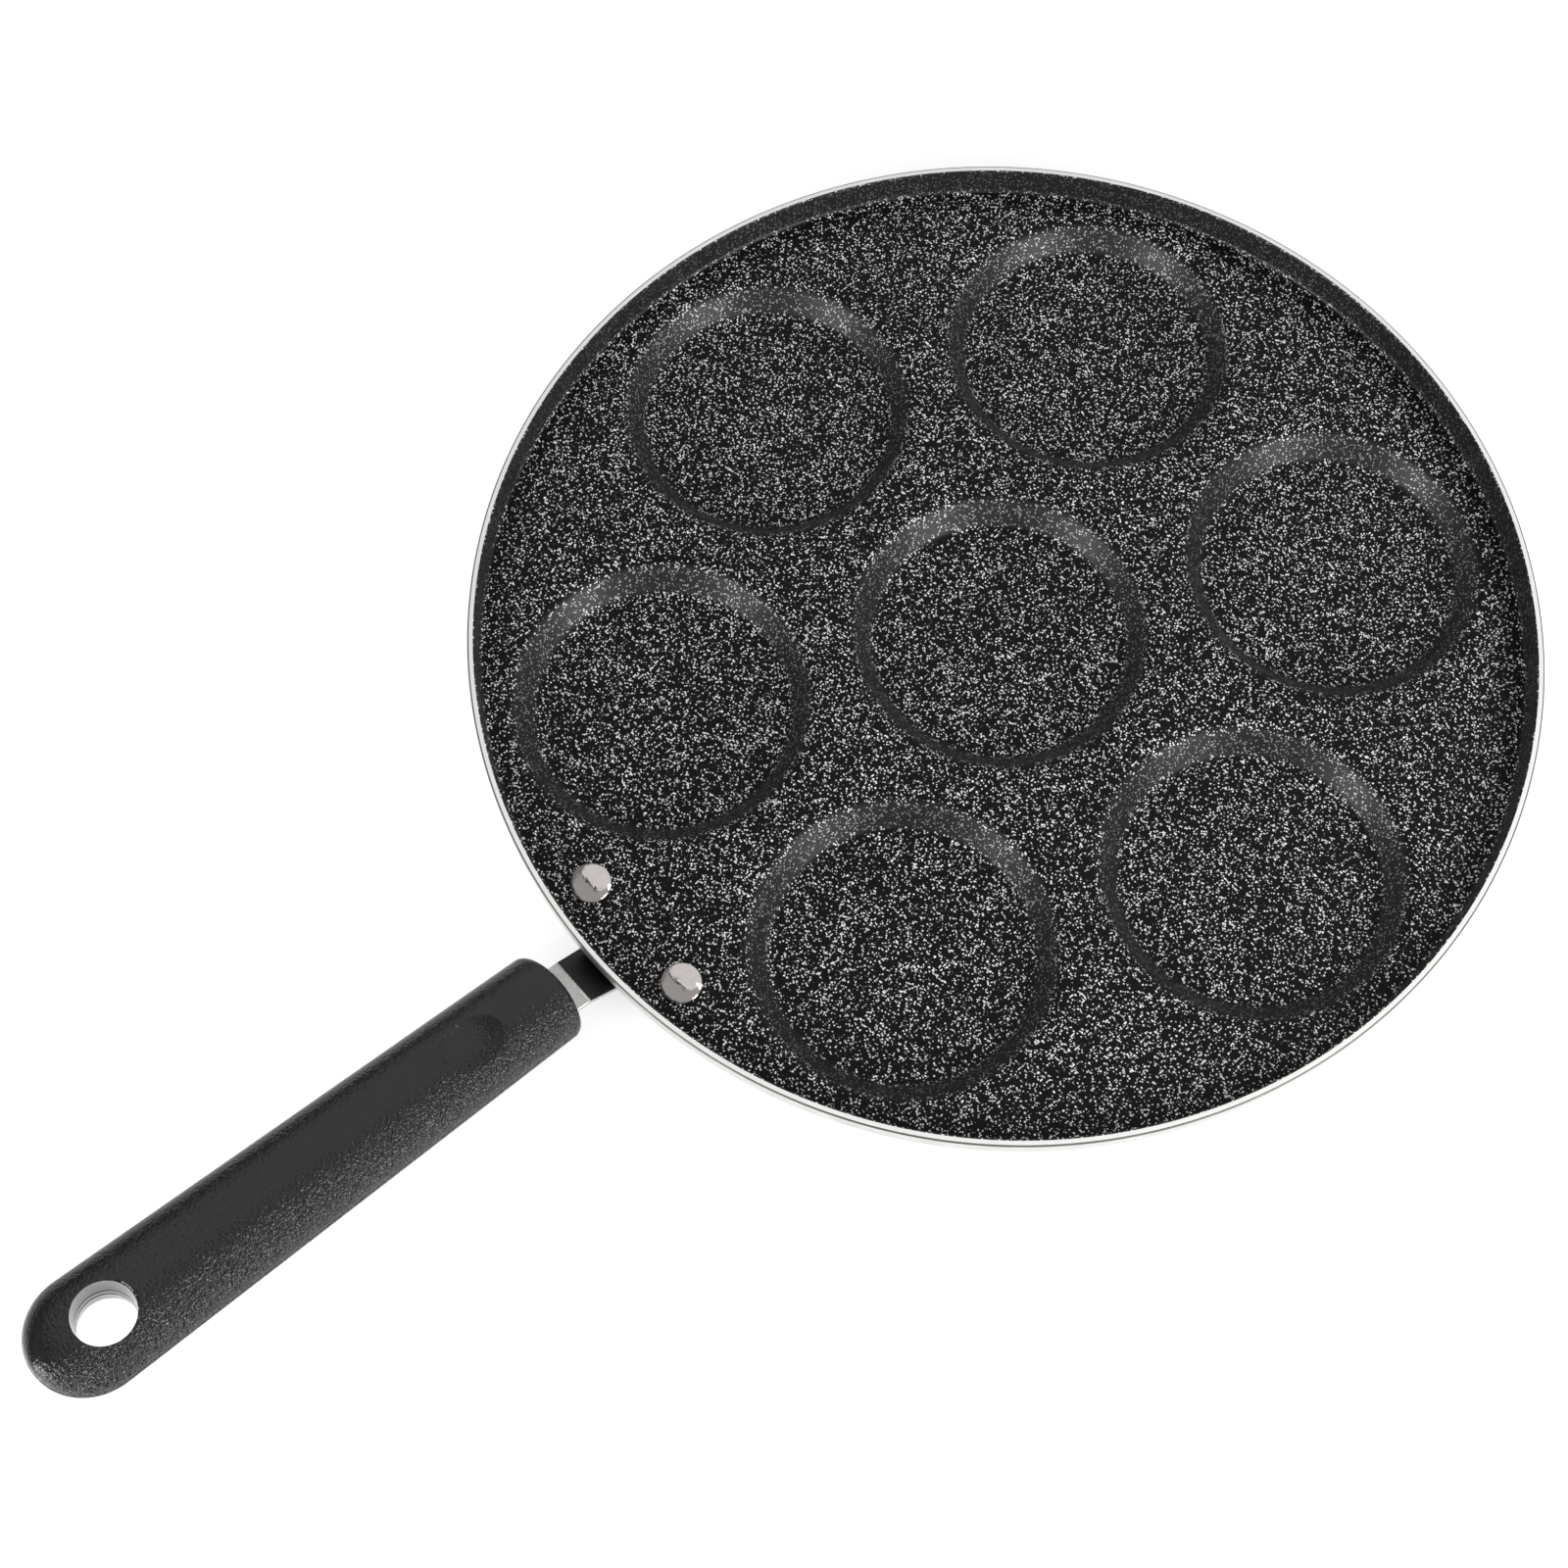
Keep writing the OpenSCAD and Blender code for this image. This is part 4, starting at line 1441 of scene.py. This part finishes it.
@dataclass
class GripScrew:
    """Pan-head screw and spring washer that hold the grip on the tongue from below.

    Attributes:
        axes: the grip's axes.
        belly_z: height of the grip's skin at the screw.
        recess_mouth: the recess's length and width at its mouth, as shares of its own.
        recess_floor: the same at its floor.
        head_sunk: how far the head lies inside the grip's skin.
        gap: play round the thread.
        bore_gap: play round the head.
        proud: how far the thread's end stands above the tongue's upper face.
        thread_depth: depth of the thread, as a share of the pitch.
        inner_ring: width of the flat ring before the head's rounding.
        chip: bevel at the head's upper edge.
        crisp: as in PressedTray.
    """

    axes: GripFrame
    belly_z: float
    thread_d: float = 4.0
    pitch: float = 0.7
    from_front: float = 17.0
    head_d: float = 8.0
    head_h: float = 2.4
    head_edge_r: float = 1.4
    recess_l: float = 4.4
    recess_w: float = 1.1
    recess_h: float = 1.5
    recess_mouth: tuple[float, float] = (1.1, 1.1)
    recess_floor: tuple[float, float] = (0.55, 0.7)
    washer_t: float = 1.0
    washer_d: float = 7.4
    washer_cut: float = 1.0
    washer_edge_r: float = 0.12
    washer_gap: float = 0.01
    head_sunk: float = 0.4
    gap: float = 0.3
    bore_gap: float = 0.6
    proud: float = 1.0
    chamfer: float = 0.5
    thread_depth: float = 0.45
    thread_rows: int = 96
    head_steps: int = 12
    washer_steps: int = 72
    inner_ring: float = 0.3
    chip: float = 0.1
    round_steps: int = 48
    crisp: float = 30.0

    @property
    def low_z(self) -> float:
        """Height of the head's lowest point."""
        return self.belly_z + self.head_sunk

    @property
    def head_z(self) -> float:
        """Height of the head's bearing face."""
        return self.low_z + self.head_h

    @property
    def seat_z(self) -> float:
        """Height of the counterbore's floor, on which the washer bears."""
        return self.head_z + self.washer_t

    def build_screw(self, finish: bpy.types.Material) -> bpy.types.Object:
        """Builds the screw.

        The thread is a helix: its radius falls from the crest by a wave of the height
        less the turn's share of the pitch, and its ends run out evenly.

        Args:
            finish: its material.

        Returns:
            The screw, in its place in the grip.
        """
        head_r, edge, chip = self.head_d / 2, self.head_edge_r, self.chip
        crest, depth = self.thread_d / 2, self.pitch * self.thread_depth
        count, end_z = self.round_steps, self.proud - self.chamfer
        shell = Shell("grip_screw_zinc", [finish])
        head = np.vstack([
            [[0, self.low_z], [head_r - edge - self.inner_ring, self.low_z]],
            arc((head_r - edge, self.low_z + edge), edge, -90, 0, self.head_steps),
            [[head_r, self.head_z - chip], [head_r - chip, self.head_z], [crest, self.head_z]]])
        shell.add_grid(revolve(head, (0, 0), count))
        z = np.linspace(self.head_z, end_z, self.thread_rows + 1)[:, None]
        turn = np.linspace(0, 1, count, endpoint=False)[None]
        wave = np.abs(((z / self.pitch - turn) % 1) * 2 - 1)
        fade = np.clip(np.minimum(z - self.head_z, end_z - z) / self.pitch, 0, 1)
        radius = crest - depth * wave * fade
        shell.add_grid(np.stack([radius * np.cos(turn * math.tau), radius * np.sin(turn * math.tau),
                                 np.broadcast_to(z, radius.shape)], axis=2))
        end = np.array([[crest, end_z], [crest - self.chamfer, self.proud], [0, self.proud]])
        shell.add_grid(revolve(end, (0, 0), count))
        screw = shell.build(self.crisp)
        carve(screw, [self.recess_arm(turned, finish) for turned in (False, True)], self.crisp)
        self.seat(screw)
        return screw

    def recess_arm(self, turned: bool, finish: bpy.types.Material) -> bpy.types.Object:
        """One arm of the cross recess, which narrows upwards, along X or, turned, along Y.

        Args:
            turned: whether the arm lies along Y.
            finish: material of the cut.

        Returns:
            The cutter.
        """
        half = np.array([self.recess_l / 2, self.recess_w / 2])
        sizes = half * np.array([self.recess_mouth, self.recess_floor])
        levels = np.array([self.low_z - self.chamfer, self.low_z + self.recess_h])
        corner = np.array([[1, 1], [-1, 1], [-1, -1], [1, -1]])
        ring = corner * sizes[:, None]
        if turned:
            ring = ring[..., ::-1]
        height = np.broadcast_to(levels[:, None, None], (len(levels), len(corner), 1))
        cutter = Shell("recess_arm", [finish])
        cutter.add_grid(capped(np.concatenate([ring, height], axis=2)))
        return cutter.build(CUTTER_CRISP)

    def build_washer(self, finish: bpy.types.Material) -> bpy.types.Object:
        """Builds the split spring washer: a rounded oblong carried round all but its cut.

        Args:
            finish: its material.

        Returns:
            The washer, in its place in the grip.
        """
        outer, inner = self.washer_d / 2, self.thread_d / 2 + self.gap
        half_cut = math.degrees(math.asin(self.washer_cut / 2 / outer))
        turns = np.radians(np.linspace(half_cut, 360 - half_cut, self.washer_steps + 1))
        loops = rounded_loop(np.full(len(turns), (outer - inner) / 2), self.head_z + self.washer_gap,
                             self.seat_z, self.washer_edge_r, FINE_STEPS)
        radius = loops[..., 0] + (outer + inner) / 2
        ring = np.stack([radius * np.cos(turns)[:, None], radius * np.sin(turns)[:, None],
                         loops[..., 1]], axis=2)
        shell = Shell("spring_washer_zinc", [finish])
        shell.add_grid(capped(ring))
        washer = shell.build(self.crisp)
        self.seat(washer)
        return washer

    def seat(self, piece: bpy.types.Object) -> None:
        """Moves a piece built about the screw's axis to its place in the grip."""
        shift = np.array([0, -self.from_front, 0])
        place(piece, lambda points: self.axes.to_pan(points / MM + shift) * MM)


@dataclass(frozen=True)
class SoftLamp:
    """A soft box that faces the pan.

    Attributes:
        name: the lamp's name.
        azimuth: its direction from +X in plan, in degrees.
        elevation: its height above the floor, in degrees.
        size: its width and height in millimetres.
        light: what it gives a surface square to it, where pi is full light.
        away: its distance in millimetres.
    """

    name: str
    azimuth: float
    elevation: float
    size: tuple[float, float]
    light: float
    away: float = 1000.0

    def build(self, aim: Vector) -> None:
        """Adds the lamp. Its power is pi times its light, times the distance squared.

        Args:
            aim: what it faces, in millimetres.
        """
        data = bpy.data.lights.new(self.name, "AREA")
        data.shape, data.size, data.size_y = "RECTANGLE", self.size[0] * MM, self.size[1] * MM
        data.energy = math.pi * self.light * (self.away * MM) ** 2
        lamp = bpy.data.objects.new(self.name, data)
        turn, rise = math.radians(self.azimuth), math.radians(self.elevation)
        way = Vector((math.cos(turn) * math.cos(rise), math.sin(turn) * math.cos(rise), math.sin(rise)))
        lamp.location = (aim + way * self.away) * MM
        lamp.visible_camera = False
        lamp.rotation_mode = "QUATERNION"
        lamp.rotation_quaternion = way.to_track_quat("Z", "Y")
        bpy.context.scene.collection.objects.link(lamp)


@dataclass
class Studio:
    """Floor, studio air, three soft lamps and the camera.

    The camera was fitted to the photograph's rim, cups and rivets as a pinhole. Heights of
    the air are the upward part of a direction, from nought at the horizon to one overhead.

    Attributes:
        azimuth: the camera's direction in plan, from -Y towards +X, in degrees.
        elevation: its height above the floor, in degrees.
        roll: its turn about its own line of sight, in degrees.
        distance: how far it stands from its aim, in millimetres.
        clip: nearest and farthest that it sees, in metres.
        floor_glow: what the floor shows beyond its paint where it is seen.
        wall_height: heights between which the pale wall fades.
        wall_level: its strength below and above them.
        ceiling_height: heights between which the pale ceiling comes in.
        ceiling_level: its strength.
        panel_lean: the ceiling panel's angle from straight up, in degrees.
        panel_turn: with the camera's azimuth, its direction in plan from +X, in degrees.
        panel_rim: cosines of the angle from its middle between which it ends.
        panel_level: its strength.
        panel_cut: where its straight edge lies, as the direction's part along Y.
        frame_cut: where the dark frame beside that edge starts, likewise.
        frame_dark: how much of the light the frame holds back.
    """

    azimuth: float = 49.2529
    elevation: float = 69.2166
    roll: float = -0.9489
    distance: float = 516.925
    aim: tuple[float, float, float] = (-2.5126, -68.965, 17.5)
    lens: float = 50.427
    sensor: float = 36.0
    clip: tuple[float, float] = (0.01, 30.0)
    floor_size: float = 2000.0
    floor_z: float = -0.05
    floor_paint: str = "#b4b4b4"
    floor_glow: float = 0.68
    wall_height: tuple[float, float] = (0.07, 0.26)
    wall_level: tuple[float, float] = (1.0, 0.2)
    ceiling_height: tuple[float, float] = (0.45, 0.65)
    ceiling_level: float = 0.37
    panel_lean: float = 34.0
    panel_turn: float = 72.0
    panel_rim: tuple[float, float] = (0.74, 0.79)
    panel_level: float = 0.74
    panel_cut: tuple[float, float] = (0.06, 0.1)
    frame_cut: tuple[float, float] = (-0.03, 0.01)
    frame_dark: float = 0.9
    lamp_aim: tuple[float, float, float] = (0.0, -60.0, 0.0)
    lamps: tuple[SoftLamp, ...] = (
        SoftLamp("softbox_right", 7, 25, (360, 880), 2.6),
        SoftLamp("softbox_left", -93, 24, (360, 850), 2.4),
        SoftLamp("softbox_back", 52, 38, (220, 480), 0.6))

    def build_floor(self) -> bpy.types.Object:
        """Builds the pale floor just under the pan, a square that keeps a faint shadow.

        Returns:
            The floor.
        """
        material, tree = new_material("studio_floor_painted_white", "#ffffff")
        path = add_node(tree, "LightPath").outputs
        seen = add_node(tree, "Math", LARGER, {
            0: path["Is Camera Ray"], 1: path["Is Glossy Ray"]}).outputs[0]
        seen = add_node(tree, "Math", LARGER, {0: seen, 1: path["Is Transmission Ray"]}).outputs[0]
        paint = add_node(tree, "BsdfDiffuse", {}, {"Color": linear(self.floor_paint)}).outputs[0]
        glow = add_node(tree, "Emission", {}, {"Color": WHITE, "Strength": self.floor_glow})
        both = add_node(tree, "AddShader", {}, {0: paint, 1: glow.outputs[0]})
        mix = add_node(tree, "MixShader", {}, {0: seen, 1: paint, 2: both.outputs[0]})
        add_node(tree, "OutputMaterial", {}, {"Surface": mix.outputs[0]})
        line = np.linspace(-self.floor_size / 2, self.floor_size / 2, 5)
        x, y = np.meshgrid(line, line)
        shell = Shell("studio_floor", [material])
        shell.add_grid(np.stack([x, y, np.full_like(x, self.floor_z)], axis=2), wrap=False)
        floor = shell.build(CUTTER_CRISP)
        if floor.data.polygons[0].normal.z < 0:
            floor.data.flip_normals()
        return floor

    def build_world(self) -> None:
        """Lights the studio's air: a pale wall low down, and a pale ceiling panel that leans away."""
        world = bpy.data.worlds.new("studio_air")
        bpy.context.scene.world = world
        world.use_nodes = True
        tree = world.node_tree
        tree.nodes.clear()
        way = add_node(tree, "TexCoord").outputs["Generated"]
        parts = add_node(tree, "SeparateXYZ", {}, {0: way}).outputs
        turn, lean = math.radians(self.azimuth + self.panel_turn), math.radians(self.panel_lean)
        axis = (math.cos(turn) * math.sin(lean), math.sin(turn) * math.sin(lean), math.cos(lean))
        near_axis = add_node(tree, "VectorMath", {"operation": "DOT_PRODUCT"}, {
            0: way, 1: axis}).outputs["Value"]
        # The panel ends in a straight edge with a dark frame, which polished metal mirrors as a line
        wall, ceiling, disc, cut, edge = (
            add_node(tree, "MapRange", SOFT_RAMP, {
                0: source, 1: ends[0], 2: ends[1], 3: levels[0], 4: levels[1]}).outputs[0]
            for source, ends, levels in (
                (parts[2], self.wall_height, self.wall_level),
                (parts[2], self.ceiling_height, (0.0, self.ceiling_level)),
                (near_axis, self.panel_rim, (0.0, 1.0)),
                (parts[1], self.panel_cut, (0.0, self.panel_level)),
                (parts[1], self.frame_cut, (0.0, self.frame_dark))))
        room = add_node(tree, "Math", LARGER, {0: wall, 1: ceiling}).outputs[0]
        panel = add_node(tree, "Math", TIMES, {0: disc, 1: cut}).outputs[0]
        dark = add_node(tree, "Math", TIMES, {0: disc, 1: edge}).outputs[0]
        left = add_node(tree, "Math", MINUS, {0: 1.0, 1: dark}).outputs[0]
        room = add_node(tree, "Math", TIMES, {0: room, 1: left}).outputs[0]
        level = add_node(tree, "Math", LARGER, {0: room, 1: panel}).outputs[0]
        sky = add_node(tree, "Background", {}, {"Color": WHITE, "Strength": level})
        add_node(tree, "OutputWorld", {}, {"Surface": sky.outputs[0]})

    def build_camera(self) -> bpy.types.Object:
        """Builds the camera from its direction, roll, distance and aim.

        Returns:
            The camera.
        """
        turn, rise, roll = (math.radians(v) for v in (self.azimuth, self.elevation, self.roll))
        back = Vector((math.sin(turn) * math.cos(rise), -math.cos(turn) * math.cos(rise), math.sin(rise)))
        right = Vector((math.cos(turn), math.sin(turn), 0))
        up = back.cross(right)
        across = right * math.cos(roll) + up * math.sin(roll)
        upward = up * math.cos(roll) - right * math.sin(roll)
        data = bpy.data.cameras.new("studio_camera")
        data.sensor_fit, data.sensor_width, data.lens = "HORIZONTAL", self.sensor, self.lens
        data.clip_start, data.clip_end = self.clip
        camera = bpy.data.objects.new("studio_camera", data)
        axes = Matrix((across, upward, back)).transposed().to_4x4()
        camera.matrix_world = Matrix.Translation((Vector(self.aim) + back * self.distance) * MM) @ axes
        bpy.context.scene.collection.objects.link(camera)
        bpy.context.scene.camera = camera
        return camera

    def build(self) -> None:
        """Builds the whole studio."""
        self.build_floor()
        self.build_world()
        for lamp in self.lamps:
            lamp.build(Vector(self.lamp_aim))
        self.build_camera()
        bpy.context.scene.view_settings.view_transform = "Standard"


def settle(piece: bpy.types.Object, slot: Slot, *nodes: str) -> None:
    """Binds a finished piece to the pan's body and hides the nodes it stands for.

    Args:
        piece: the piece.
        slot: the record's material slot; not used.
        nodes: names of the CAD nodes.
    """
    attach(piece, BODY)
    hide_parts(*nodes)
    lo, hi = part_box(nodes[0])
    LOG.info("%s stands for %s: %d faces, node box %s to %s", piece.name, ", ".join(nodes),
             len(piece.data.polygons), [round(v, 4) for v in lo], [round(v, 4) for v in hi])


def main() -> None:
    """Builds the pan's sub-assemblies in order, then the studio."""
    logging.basicConfig(level=logging.INFO, format="%(name)s: %(message)s")
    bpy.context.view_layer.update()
    lo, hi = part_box("pan_body")
    tray = PressedTray(rim_r=round((hi.y - lo.y) / 2 / MM, 1), rim_z=round(hi.z / MM, 2))
    rivets = RivetPair(tray.rim_r, tray.plate_z, tray.cup_depth, SteelBracket.thickness)
    bracket = SteelBracket(tray.rim_r, tray.cup_depth, rivets)
    grip = MouldedGrip(bracket.grip_frame())
    belly_z = grip.parting_z - float(grip.belly_h(GripScrew.from_front))
    screw = GripScrew(grip.axes, belly_z)
    settle(tray.build(rivets), Slot.COATED_ALUMINIUM, "pan_body")
    for piece, node in zip(rivets.build(), ("rivet_left", "rivet_right")):
        settle(piece, Slot.RIVET_METAL, node)
    settle(bracket.build(screw.thread_d / 2, screw.from_front), Slot.COATED_STEEL, "handle_bracket")
    settle(grip.build(screw), Slot.PHENOLIC, "handle_grip")
    zinc = ZINC_STEEL.make()
    settle(screw.build_washer(zinc), Slot.ZINC_STEEL, "spring_washer")
    settle(screw.build_screw(zinc), Slot.ZINC_STEEL, "grip_screw")
    Studio().build()


if __name__ == "__main__":
    main()
